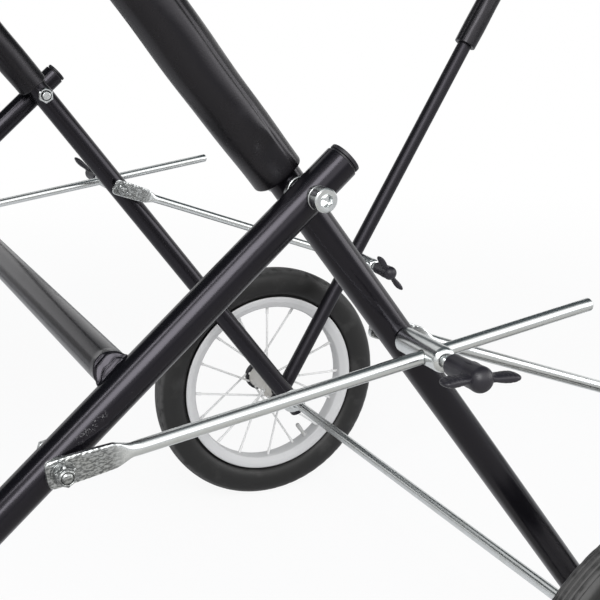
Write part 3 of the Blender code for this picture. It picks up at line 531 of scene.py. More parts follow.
def crossbar_grid(point, radius, lift, rail_radius, reach, slope):
    """A bar welded to a rail at each end, as one skin with its weld beads.

    At an angle round the bar, the distance square to the rail is radius cos(turn - slope) +
    lift, and the rail's surface stands sqrt(rail_radius^2 - distance^2) in from its axis. Over
    the last stretch the skin slides from the bar to the rail with a smooth step, raised by
    bead sin(pi u) with ripples along u, so what overhangs the rail is filled with weld.
    """
    place = Place(point, ACROSS, (1.0, 0.0, 0.0))
    count = 120
    turn = np.arange(count) * math.tau / count
    out = np.stack([np.cos(turn), np.sin(turn)], -1)
    square = np.array([math.cos(slope), math.sin(slope)])
    away = radius * np.cos(turn - slope) + lift
    held = np.clip(away, -0.96 * rail_radius, 0.96 * rail_radius)
    seat = reach - np.sqrt(rail_radius ** 2 - held ** 2)
    stretch = 0.0036 + 0.8 * np.abs(away - held)
    u = np.linspace(0, 1, 30)[:, None]
    slide = u * u * (3 - 2 * u)
    blobs = 0.8 * np.sin(turn * 3) + 0.6 * np.sin(turn * 7 + 1.3)
    ripple = 1 + 0.30 * np.sin(u * (5 + 1300 * stretch) + blobs) + 0.08 * np.sin(turn * 9 + 6 * u)
    bead = sizes().weld_bead * np.sin(math.pi * u) ** 0.8 * ripple
    flat = ((radius + bead)[..., None] * out + ((held - away) * slide)[..., None] * square)
    along = seat - stretch + (stretch + 0.0006) * u
    end = np.concatenate([flat, along[..., None]], -1)
    body = np.stack([np.broadcast_to(radius * np.cos(turn), (12, count)),
                     np.broadcast_to(radius * np.sin(turn), (12, count)),
                     np.linspace(-0.98, 0.98, 12)[:, None] * (seat - stretch)], -1)
    return place(shut(np.concatenate([end[::-1] * [1, 1, -1], body, end])))


class TROLLEY_OT_tubes(bpy.types.Operator):
    """Main tubes, legs, arms and their welded crossbars"""

    bl_idname = "trolley.tubes"
    bl_label = "Tubes"

    def execute(self, context):
        for word, side in SIDES.items():
            main = Place(at(PIVOT, side, 0), UP_MAIN)
            piece("main_tube_coat_" + word,
                  [tube_grid(main, -PIVOT_TO_AXLE - MAIN_FOOT, MAIN_TOP, TUBE_R, TUBE_WALL)],
                  black_coat(), "main_frame", ["main_tube_" + word])
            leg = Place(at(PIVOT, side, LEG_OUT), DOWN_LEG)
            piece("leg_tube_coat_" + word,
                  [tube_grid(leg, -LEG_TOP, LEG_LENGTH, TUBE_R, TUBE_WALL)],
                  scuffed_coat() if side < 0 else black_coat(), "leg_frame",
                  ["leg_tube_" + word])
            arm = Place(at(AXLE, side, ARM_OUT), UP_ARM)
            piece("arm_tube_coat_" + word,
                  [tube_grid(arm, -ARM_FOOT, ARM_TOP, ARM_R, ARM_WALL, 56)],
                  handled_coat(), "arm_frame", ["arm_tube_" + word])
        square = math.pi / 2
        leg_bar = (PIVOT + LEG_BAR_AT * DOWN_LEG
                   + LEG_BAR_LIFT * heading(LEG_SLOPE + square))
        bars = [("main_crossbar", PIVOT + MAIN_BAR_AT * UP_MAIN, TUBE_R, 0.0, TUBE_R,
                 HALF_SPACING, square - MAIN_SLOPE, "main_frame"),
                ("leg_crossbar", leg_bar, TUBE_R, LEG_BAR_LIFT, TUBE_R,
                 HALF_SPACING + LEG_OUT, square + LEG_SLOPE, "leg_frame"),
                ("arm_crossbar", AXLE + ARM_BAR_AT * UP_ARM, ARM_R, 0.0, ARM_R,
                 HALF_SPACING + ARM_OUT, square + ARM_SLOPE, "arm_frame")]
        for name, point, radius, lift, rail, reach, slope, body in bars:
            piece(name + "_coat", [crossbar_grid(point, radius, lift, rail, reach, -slope)],
                  black_coat(), body, [name], 60)
        return {"FINISHED"}


class TROLLEY_OT_foam(bpy.types.Operator):
    """Foam sleeves on the main tubes, the arms and their crossbars"""

    bl_idname = "trolley.foam"
    bl_label = "Foam sleeves"

    def execute(self, context):
        for word, side in SIDES.items():
            main = Place(at(PIVOT, side, 0), UP_MAIN)
            grid = self.hung(self.sleeve(main, 0.014, 0.232, TUBE_R, 0.019, 2.6 * side), main)
            grid = self.relieved(grid, main, side)
            self.pad("main_sleeve_" + word, grid, "main_frame", "main_foam_" + word)
            arm = Place(at(AXLE, side, ARM_OUT), UP_ARM)
            grid = self.sleeve(arm, 0.560, 0.778, ARM_R, 0.016, 1.9 * side)
            self.pad("arm_sleeve_" + word, grid, "arm_frame", "arm_foam_" + word)
        reach = HALF_SPACING - TUBE_R - 0.016
        bar = Place(PIVOT + MAIN_BAR_AT * UP_MAIN, ACROSS)
        self.pad("main_bar_sleeve", self.sleeve(bar, -reach, reach, TUBE_R, 0.019, 4.4),
                 "main_frame", "main_crossbar_foam")
        reach = HALF_SPACING + ARM_OUT - ARM_R - 0.016
        bar = Place(AXLE + ARM_BAR_AT * UP_ARM, ACROSS)
        self.pad("arm_bar_sleeve", self.sleeve(bar, -reach, reach, ARM_R, 0.016, 4.4),
                 "arm_frame", "arm_crossbar_foam")
        return {"FINISHED"}

    def sleeve(self, place, low, high, inner, outer, seam):
        """Foam tube with cut, softened lips and a pressed seam.

        The outer radius falls by seam depth times exp(-(angle from seam / width)^2), and two
        slow waves along and round the sleeve leave it slightly uneven.
        """
        count = 120
        lip, depth = 0.0013, sizes().foam_seam
        body = np.linspace(low + 0.004, high - 0.004, 60)
        rows = np.concatenate([
            eased([(inner + GAP, low), (outer, low), (outer, low + 0.004)], lip),
            np.stack([np.full(60, outer), body], 1),
            eased([(outer, high - 0.004), (outer, high), (inner + GAP, high)], lip)])
        grid = turned(rows, count, closed=True)
        turn = np.arange(count) * math.tau / count
        gap = (turn - seam + math.pi) % math.tau - math.pi
        dent = depth * np.exp(-(gap / 0.045) ** 2)
        height = grid[..., 2]
        wave = 0.00016 * np.sin(height * 95 + 2 * turn) + 0.00012 * np.sin(height * 41 - turn)
        radius = np.hypot(grid[..., 0], grid[..., 1])
        share = np.clip((radius - inner) / (outer - inner), 0, 1) ** 3
        scale = 1 + share * (wave - 0.00028 - dent) / radius
        grid[..., :2] *= scale[..., None]
        return place(grid)

    def hung(self, grid, place):
        """The loose sleeve hangs under its tube and swells away from its pinched lower end.

        With e the share of the wall outside the tube and h running smoothly from 0 to 1 over
        the first 0.10 m, each point moves down by e (0.0022 + 0.0016 h) square to the tube and
        its radius grows by e (0.045 h - 0.015).
        """
        up = place.axes[2]
        along = (grid - place.point) @ up
        out = grid - place.point - along[..., None] * up
        radius = np.linalg.norm(out, axis=-1)
        share = np.clip((radius - TUBE_R - GAP) / 0.005, 0, 1)
        swell = np.clip((along - 0.014) / 0.10, 0, 1)
        swell = swell * swell * (3 - 2 * swell)
        down = np.array([-up[2], 0.0, up[0]])
        moved = (share * (0.0022 + 0.0016 * swell))[..., None] * down
        return grid + moved + (share * (0.045 * swell - 0.015))[..., None] * out

    def relieved(self, grid, place, side):
        """Foam pressed thinner where the leg's top end swings past.

        The distance outwards d becomes -k log(exp(-d / k) + exp(-limit / k)), a soft minimum
        whose limit rises smoothly beyond the leg's reach. The bore stays as it is.
        """
        soft = 0.0015
        out = grid[..., 1] * side - HALF_SPACING
        from_pivot = np.hypot(grid[..., 0] - PIVOT[0], grid[..., 2] - PIVOT[2])
        rise = np.clip((from_pivot - LEG_TOP - 0.007) / 0.030, 0, 1)
        limit = LEG_OUT - TUBE_R - 2 * GAP + 0.0090 * rise * rise * (3 - 2 * rise)
        pressed = -soft * np.log(np.exp(-out / soft) + np.exp(-limit / soft))
        wall = np.linalg.norm(np.cross(grid - place.point, place.axes[2]), axis=-1)
        out = np.where(wall > TUBE_R + 0.002, pressed, out)
        return np.stack([grid[..., 0], side * (HALF_SPACING + out), grid[..., 2]], -1)

    def pad(self, name, grid, body, node):
        sleeve = piece(name, [grid], finish("foam_skin", foam_skin), body, [node])


class TROLLEY_OT_ends(bpy.types.Operator):
    """End caps of the tubes and the legs' rubber feet"""

    bl_idname = "trolley.ends"
    bl_label = "Caps and feet"

    def execute(self, context):
        for word, side in SIDES.items():
            ends = [("main_cap_", at(PIVOT + MAIN_TOP * UP_MAIN, side, 0), UP_MAIN, TUBE_R,
                     "main_frame"),
                    ("leg_cap_", at(PIVOT + LEG_TOP * UP_LEG, side, LEG_OUT), UP_LEG, TUBE_R,
                     "leg_frame"),
                    ("arm_cap_", at(AXLE + ARM_TOP * UP_ARM, side, ARM_OUT), UP_ARM, ARM_R,
                     "arm_frame")]
            for name, point, along, radius, body in ends:
                piece(name + "plug_" + word, [Place(point, along)(self.cap(radius))],
                      black_plastic(), body, [name + word], 30)
            foot = Place(at(PIVOT + LEG_LENGTH * DOWN_LEG, side, LEG_OUT), DOWN_LEG)
            piece("leg_shoe_" + word, [self.shoe(foot)],
                  finish("foot_rubber", moulded, (0.022, 0.021, 0.020), 0.62, 500),
                  "leg_frame", ["leg_foot_" + word])
        return {"FINISHED"}

    def cap(self, radius):
        """Plug: a crowned disc, a narrower neck on the tube's end and an insert in its bore."""
        disc, neck, insert = radius * 0.94, radius * 0.84, radius - 0.002 - GAP
        profile = [(0, 0.0049), (disc * 0.6, 0.00485), (disc, 0.0044), (disc, 0.0018),
                   (neck, 0.0016), (neck, 0.0002), (insert, 0.0002), (insert, -0.012),
                   (0, -0.012)]
        return turned(eased(profile, 0.0006), 96)

    def shoe(self, place):
        """Ribbed rubber foot, cut flat at the floor.

        What would lie below the floor slides back along the leg by depth / sin(slope).
        """
        inner, outer = TUBE_R + GAP, 0.017
        rows = [(0, 0.020), (outer - 0.001, 0.020), (outer, 0.018)]
        for ring in range(4):
            top = 0.006 - ring * 0.009
            rows += [(outer, top + 0.002), (outer - 0.0009, top + 0.0012),
                     (outer - 0.0009, top - 0.0012), (outer, top - 0.002)]
        rows += [(outer, -0.036), (outer - 0.002, -0.040), (inner, -0.040), (inner, GAP), (0, GAP)]
        grid = place(turned(eased(rows, 0.0008), 80))
        low = np.minimum(grid[..., 2], 0.0)
        grid += (low / math.sin(LEG_SLOPE))[..., None] * -UP_LEG
        return grid


class TROLLEY_OT_pivots(bpy.types.Operator):
    """Saddle washers, socket screw and lock nut of each leg pivot"""

    bl_idname = "trolley.pivots"
    bl_label = "Leg pivots"

    def execute(self, context):
        for word, side in SIDES.items():
            place = Place(at(PIVOT, side, 0), (0, side, 0), (1, 0, 0))
            metal = plain_zinc()
            floor, roof = LEG_OUT - TUBE_R - GAP, LEG_OUT + TUBE_R + 0.0022
            piece("pivot_spacer_ring_" + word,
                  [place(self.saddle(0.0053, 0.010, 0.0, floor, self.turn(side, UP_MAIN)))],
                  metal, "main_frame", ["pivot_spacer_" + word])
            piece("pivot_saddle_ring_" + word,
                  [place(self.saddle(0.0053, HEAD_R, LEG_OUT, LEG_OUT + TUBE_R + 0.0019,
                                     self.turn(side, UP_LEG)))],
                  metal, "leg_frame", ["pivot_saddle_" + word])
            piece("pivot_screw_zinc_" + word, [place(self.screw(roof))], metal, "main_frame",
                  ["pivot_screw_" + word])
            piece("pivot_nut_zinc_" + word, [place(lock_nut(-TUBE_R - GAP, -1, 0.008, 0.0053,
                                                            0.008))],
                  metal, "main_frame", ["pivot_nut_" + word])
        return {"FINISHED"}

    def turn(self, side, along):
        """A tube's direction, seen in the pivot's own frame."""
        place = Place((0, 0, 0), (0, side, 0), (1, 0, 0))
        local = place.axes @ along
        return math.atan2(local[1], local[0])

    def saddle(self, inner, outer, base, top, slope):
        """Ring whose foot follows a tube: height base + sqrt(R^2 - (r sin(turn - slope))^2)."""
        count = 72
        turn = np.arange(count) * math.tau / count
        radii = np.array([inner, outer - 0.0004, outer, outer, outer - 0.0004, inner])
        rise = np.array([0, 0, 1, 1, 0, 0])
        foot = base + np.sqrt(TUBE_R ** 2 - (radii[:3, None] * np.sin(turn - slope)) ** 2) + GAP
        foot[2] += 0.0004
        head = np.repeat([[top - 0.0004], [top], [top]], count, 1)
        height = np.concatenate([foot, head])
        radius = np.repeat(radii[:, None], count, 1)
        grid = np.stack([radius * np.cos(turn), radius * np.sin(turn), height], -1)
        return np.concatenate([grid, grid[:1]])

    def screw(self, roof):
        """Socket screw: tail, shank, round head with a chamfered rim and a hexagonal recess.

        The recess follows a hexagon's edge, apothem / cos(turn mod 60 - 30 degrees). Between
        the rim's circle and the hexagon a row's radius is a blend of both.
        """
        count, socket, top = 120, 0.0040, roof + HEAD_H
        turn = np.arange(count) * math.tau / count
        hexagon = socket / np.cos((turn + math.pi / 6) % (math.pi / 3) - math.pi / 6)
        tail = -TUBE_R - GAP - 0.011
        outside = turned(eased([(0, tail), (0.0042, tail), (0.005, tail + 0.001), (0.005, roof),
                                (HEAD_R, roof), (HEAD_R, top - 0.0010), (HEAD_R - 0.0010, top)],
                               0.0003), count)
        share = np.array([0.0, 0.35, 0.92, 1.0, 1.0, 1.0])[:, None]
        drop = np.array([0.0, 0.00005, 0.0002, 0.0009, 0.0030, 0.0053])[:, None]
        radius = (HEAD_R - 0.0011) * (1 - share) + hexagon * share
        recess = np.stack([radius * np.cos(turn), radius * np.sin(turn),
                           np.broadcast_to(top - drop, radius.shape)], -1)
        cone = np.stack([hexagon * 0.35 * np.cos(turn), hexagon * 0.35 * np.sin(turn),
                         np.full(count, top - 0.0064)], -1)
        pole = np.tile([0.0, 0.0, top - 0.0068], (1, count, 1))
        return np.concatenate([outside, recess, cone[None], pole])


def lock_nut(base, sign, flats, bore, tall):
    """Hexagon nut with turned chamfers: each row's radius is cut to the hexagon's edge."""
    corner = flats / math.cos(math.pi / 6)
    rows = [(bore, 0), (flats * 0.97, 0), (corner, (corner - flats) * 0.75),
            (corner, tall - (corner - flats) * 0.75), (flats * 0.97, tall), (bore + 0.001, tall)]
    rows = [(r, base + sign * h) for r, h in rows]
    return turned(rows, 96, flats, True)


def nylon_nut(flats, tall, bolt):
    """Hexagon nut with a crimped collar round the bolt's rounded end, on a washer."""
    corner = flats / math.cos(math.pi / 6)
    washer = turned(eased([(bolt, 0), (0.008, 0), (0.008, 0.0016), (bolt, 0.0016)], 0.0004, True),
                    64, closed=True)
    low = 0.0016
    hexagon = [(bolt * 0.9, low), (flats * 0.97, low), (corner, low + (corner - flats) * 0.8),
               (corner, low + tall - (corner - flats) * 0.9), (flats * 0.95, low + tall)]
    collar = eased([(flats * 0.86, low + tall), (flats * 0.86, low + tall + 0.0014),
                    (flats * 0.70, low + tall + 0.0024), (bolt * 1.02, low + tall + 0.0022),
                    (bolt * 0.9, low + tall - 0.001)], 0.0005)
    nut = turned(np.concatenate([hexagon, collar]), 96, flats, True)
    end = low + tall + 0.0032
    tip = turned(eased([(0, 0), (bolt * 0.96, 0), (bolt * 0.96, end - 0.0012),
                        (bolt * 0.62, end - 0.0002), (0, end)], 0.0006), 48)
    return [washer, nut, tip]


def brace_place(point, side, out, link, outwards):
    """Frame on a post's axis: local +Z to the post's free end, local +X along the rod."""
    return Place(at(point, side, out), (0, side * outwards, 0), link)


class TROLLEY_OT_posts(bpy.types.Operator):
    """Swivel posts that carry the sliding rods"""

    bl_idname = "trolley.posts"
    bl_label = "Posts"

    def execute(self, context):
        for word, side in SIDES.items():
            for name, point, out, link, outwards, tail in braces(side):
                place = brace_place(point, side, out, link, outwards)
                metal = finish("zinc_post", zinc, (0, 1, 0))
                grids = [place(self.post()), place(self.tail_grid(tail))]
                grids += [place(grid) for grid in self.tail_nut(tail)]
                obj = piece(name + "post_zinc_" + word, grids, metal, name + "post_" + word,
                            [name + "post_" + word])
                hole = Place(place.point, link)
                self.bore(obj, hole(turned([(0, -0.02), (ROD_R + 0.0005, -0.02),
                                            (ROD_R + 0.0005, 0.02), (0, 0.02)], 48)))
        return {"FINISHED"}

    def bore(self, obj, grid):
        """Cuts the rod's hole through a post, and keeps the result as the post's own mesh."""
        tool = bpy.data.objects.new("hole", skin([grid], "hole"))
        bpy.context.scene.collection.objects.link(tool)
        cut = obj.modifiers.new("hole", "BOOLEAN")
        cut.operation, cut.solver, cut.object = "DIFFERENCE", "EXACT", tool
        bpy.context.view_layer.update()
        state = bpy.context.evaluated_depsgraph_get()
        mesh = bpy.data.meshes.new_from_object(obj.evaluated_get(state))
        obj.modifiers.clear()
        obj.data = mesh
        mesh.shade_smooth()
        mesh.set_sharp_from_angle(angle=math.radians(30))
        bpy.data.objects.remove(tool)

    def post(self):
        """Round post: eased shoulder at its seat and a rounded nose past the rod."""
        base, top, r = -POST_REACH + GAP, POST_END - POST_REACH, 0.0095
        profile = [(0, base), (r - 0.0004, base), (r, base + 0.0006), (r, top - 0.0050)]
        t = np.linspace(0, 1, 9)[1:]
        nose = np.stack([r - (r - 0.0050) * (1 - np.cos(t * math.pi / 2)),
                         top - 0.0050 + 0.0050 * np.sin(t * math.pi / 2)], 1)
        return turned(np.concatenate([eased(profile, 0.0004)[:-1], [[r, top - 0.005]], nose,
                                      [[0, top]]]), 72)

    def tail_grid(self, tail):
        return thread(0.00395, tail, -POST_REACH + 0.001, 0.00125, 0.0004)

    def tail_nut(self, tail):
        """Cap nut past the tube: the nut turned to face away from the post."""
        grids = nylon_nut(0.0065, 0.0060, 0.0040)
        flip = np.array([1.0, 1.0, -1.0])
        crest = -POST_REACH - 2 * TUBE_R if tail < -0.066 else -POST_REACH - 2 * ARM_R
        return [grid * flip + np.array([0, 0, crest - GAP]) for grid in grids]


def braces(side):
    """Name, post's place, out, rod direction, facing, and shank end of each brace."""
    leg_link = POST_ON_MAIN - LEG_BOLT
    arm_link = POST_ON_ARM - POST_ON_MAIN
    return [("leg_brace_", POST_ON_MAIN, ROD_OUT, leg_link, 1, -ROD_OUT - 0.0180),
            ("arm_brace_", POST_ON_ARM, -INNER_REACH, arm_link, -1, -POST_REACH - 0.0270)]


class TROLLEY_OT_rods(bpy.types.Operator):
    """Sliding rods with their hammered paddle ends and bolts"""

    bl_idname = "trolley.rods"
    bl_label = "Rods"

    def execute(self, context):
        for word, side in SIDES.items():
            for name, point, out, link, outwards, _ in braces(side):
                length = np.linalg.norm(link)
                place = brace_place(point, side, out, link, outwards)
                # the rod's own frame: +Z along the rod, +X away from the tube that it hangs on
                bolt = place.point - unit(link) * length
                facing = 1 if name == "leg_brace_" else -1
                rod = Place(bolt, link, (0, side * facing, 0))
                grids = [rod(self.rod())]
                nut = Place(bolt + np.array([0, side * facing, 0]) * 0.0022,
                            (0, side * facing, 0), link)
                grids += [nut(grid) for grid in nylon_nut(0.0065, 0.0060, 0.0040)]
                metal = finish("zinc_rod_" + name + word, zinc, link, bolt)
                piece(name + "rod_zinc_" + word, grids, metal, name + "rod_" + word,
                      [name + "rod_" + word], 40)
            seat = Place(at(LEG_BOLT, side, 0), (0, side, 0))
            low, high = LEG_OUT - TUBE_R - GAP, LEG_OUT + TUBE_R + GAP
            under = low - 0.0016
            shank = [(0, under), (0.008, under), (0.008, low), (0.004, low), (0.004, high),
                     (0.008, high), (0.008, ROD_OUT - 0.0025), (0, ROD_OUT - 0.0025)]
            flats, corner, tall = 0.0065, 0.0075, 0.0053
            head = turned([(0, under - tall), (flats * 0.92, under - tall),
                           (corner, under - tall + 0.0009), (corner, under + 0.0002),
                           (0, under + 0.0002)], 96, flats)
            piece("leg_brace_bolt_zinc_" + word, [seat(turned(eased(shank, 0.0004), 64)),
                                                  seat(head)],
                  plain_zinc(), "leg_frame", ["leg_brace_bolt_" + word])
        return {"FINISHED"}

    def rod(self):
        """Round rod pressed into a paddle at its bolt.

        Each section is a superellipse: thickness |cos|^(2/n) and width |sin|^(2/n). n falls
        from 5 on the paddle to 2 on the rod, as its half width and half thickness go from the
        blade's to the rod's with a smooth step. Hammer blows move the faces by a sum of waves.
        """
        count = 64
        start, flat, neck = -PADDLE_END, PADDLE_FLAT, PADDLE_NECK
        along = np.concatenate([np.linspace(start, start + 0.004, 10)[:-1],
                                np.linspace(start + 0.004, neck + 0.010, 90),
                                np.linspace(neck + 0.015, ROD_REACH - 0.0015, 24),
                                [ROD_REACH - 0.0009, ROD_REACH - 0.0003, ROD_REACH]])
        t = np.clip((along - flat) / (neck - flat), 0, 1)
        smooth = t * t * (3 - 2 * t)
        blade = 0.0094 - 0.0009 * np.clip(along / flat, 0, 1) ** 2
        corner = np.clip((along - start) / 0.0042, 0, 1)
        blade = blade * (0.52 + 0.48 * np.sqrt(1 - (1 - corner) ** 2))
        wide = blade + (ROD_R - blade) * smooth
        thick = 0.0022 + (ROD_R - 0.0022) * np.clip((along - flat - 0.006) / 0.012, 0, 1) ** 0.8
        power = 7 - 5 * smooth
        tip = np.clip((ROD_REACH - along) / 0.0012, 0, 1)
        wide, thick = wide - 0.0012 * (1 - tip), thick - 0.0012 * (1 - tip)
        turn = (np.arange(count) + 0.5) * math.tau / count
        c, s = np.cos(turn)[None], np.sin(turn)[None]
        bend = 2 / power[:, None]
        x = thick[:, None] * np.sign(c) * np.abs(c) ** bend
        y = wide[:, None] * np.sign(s) * np.abs(s) ** bend
        z = np.broadcast_to(along[:, None], x.shape)
        blows = (np.sin(z * 900 + 3 * np.sin(y * 700)) * np.sin(y * 820 + 2 * np.sin(z * 430))
                 + 0.6 * np.sin(z * 1700 + y * 900))
        x = x + np.sign(c) * blows * 0.00014 * (1 - smooth[:, None]) * (np.abs(c) > 0.3)
        return shut(np.stack([x, y, z], -1))


class TROLLEY_OT_wing_screws(bpy.types.Operator):
    """Wing screws that clamp the rods in their posts"""

    bl_idname = "trolley.wing_screws"
    bl_label = "Wing screws"

    def execute(self, context):
        for word, side in SIDES.items():
            for name, point, out, link, outwards, _ in braces(side):
                wings = heading(math.radians(WING_ANGLES[name + word]))
                place = brace_place(point, side, out, wings, outwards)
                grids = [(place(grid), index) for grid, index in self.knob()]
                piece(name + "wing_knob_" + word, grids, [wing_plastic(), plain_zinc()],
                      name + "wing_screw_" + word, [name + "wing_screw_" + word],
                      50)
        return {"FINISHED"}

    def knob(self):
        """Threaded stud, flared hub with a domed end, and two ribbed wings."""
        low, high = 0.0080, 0.0093
        stud = thread(0.0040, ROD_R + GAP, HUB_ROOT + 0.002, 0.00125, 0.00045)
        t = np.linspace(0, 1, 30)[1:]
        dome = 0.0080
        side = np.stack([low + (high - low) * t ** 1.5, HUB_ROOT + (HUB_TALL - dome) * t], 1)
        lean = np.linspace(0, math.pi / 2, 14)[1:]
        cap = np.stack([high * np.cos(lean), HUB_ROOT + HUB_TALL - dome * (1 - np.sin(lean))], 1)
        face = eased([(0, HUB_ROOT), (low, HUB_ROOT), (low, HUB_ROOT + 0.003)], 0.0008)
        grids = [(stud, 1), (turned(np.concatenate([face[:-1], side[2:], cap]), 72), 0)]
        return grids + [(self.wing(sign), 0) for sign in (-1, 1)]

    def wing(self, sign):
        """Wing from inside the hub to its rounded tip.

        At a share s of the span the section is a superellipse. Its inner edge climbs as 1 -
        exp(-s / 0.13), its outer edge as sin(s pi / 2), and its half thickness is web + flare
        exp(-s / 0.12) + grip sin(pi (s - 0.3) / 0.7). The tip closes as sqrt(1 - u^3). Grooves
        along the screw's axis are pressed into the grip's two faces.
        """
        count, steps, reach = 48, 110, 0.0310
        s = np.linspace(0, 1, steps)
        u = np.clip((s - 0.72) / 0.28, 0, 1)
        close = np.sqrt(np.maximum(1 - u ** 3, 0.0))
        x = sign * (0.0035 + (reach - 0.0035) * s)
        low = HUB_ROOT + 0.0110 + 0.0150 * (1 - np.exp(-s / 0.13))
        high = HUB_ROOT + 0.0345 + 0.0050 * np.sin(s * math.pi / 2)
        middle, half = (low + high) / 2 + 0.001 * u ** 2, (high - low) / 2 * close
        grip = np.sin(np.clip((s - 0.3) / 0.7, 0, 1) * math.pi)
        thick = (0.0022 + 0.0062 * np.exp(-s / 0.11) + 0.0014 * grip) * close
        turn = np.arange(count) * math.tau / count
        c, v = np.cos(turn)[None], np.sin(turn)[None]
        held = np.clip((s - 0.46) / 0.05, 0, 1) * np.clip((0.98 - s) / 0.05, 0, 1)
        groove = 0.00055 * held * np.maximum(np.cos((s - 0.49) * math.tau / 0.125), 0.0) ** 2
        z = middle[:, None] + half[:, None] * np.sign(c) * np.abs(c) ** 0.8
        y = thick[:, None] * np.sign(v) * np.abs(v) ** 0.8 - groove[:, None] * v * (np.abs(v) > 0.3)
        y = y + sign * 0.0012 * (s ** 2)[:, None]
        return shut(np.stack([np.broadcast_to(x[:, None], y.shape), y, z], -1))


class TROLLEY_OT_axle(bpy.types.Operator):
    """Axle, collars, washers and nuts"""

    bl_idname = "trolley.axle"
    bl_label = "Axle"

    def execute(self, context):
        metal = finish("zinc_post", zinc, (0, 1, 0))
        reach = HALF_SPACING + HUB_OUT + HUB_LENGTH + GAP + 0.014
        bar = Place(AXLE, ACROSS)
        profile = eased([(0, -reach), (0.006, -reach), (0.006, reach), (0, reach)], 0.0009)
        piece("axle_zinc", [bar(turned(profile, 64))], metal, "main_frame", ["axle"])
        for word, side in SIDES.items():
            place = Place(at(AXLE, side, 0), (0, side, 0), (0, 0, 1))
            inner = -TUBE_R - GAP
            collar = eased([(0.0063, inner - 0.0136), (0.011, inner - 0.0136),
                            (0.011, inner - 0.0016), (0.017, inner - 0.0016), (0.017, inner),
                            (0.0063, inner)], 0.0006, True)
            grub = Place(place(np.array([0.0108, 0, inner - 0.0076])), place.axes[0])
            hole = turned(eased([(0, -0.002), (0.0022, -0.002), (0.0022, 0.0002),
                                 (0.0012, 0.0003), (0.0010, -0.001), (0, -0.001)], 0.0001), 32)
            piece("axle_collar_zinc_" + word,
                  [place(turned(collar, 72, closed=True)), grub(hole)], metal, "main_frame",
                  ["axle_collar_" + word])
            low, high = TUBE_R + GAP, ARM_OUT - ARM_R - GAP
            ring = eased([(0.0063, low), (0.012, low), (0.012, high), (0.0063, high)], 0.0005, True)
            piece("arm_washer_zinc_" + word, [place(turned(ring, 64, closed=True))], metal,
                  "main_frame", ["arm_washer_" + word])
            nut = lock_nut(HUB_OUT + HUB_LENGTH + GAP, 1, 0.0095, 0.0063, 0.010)
            piece("axle_nut_zinc_" + word, [place(nut)], metal, "main_frame",
                  ["axle_nut_" + word])
        return {"FINISHED"}


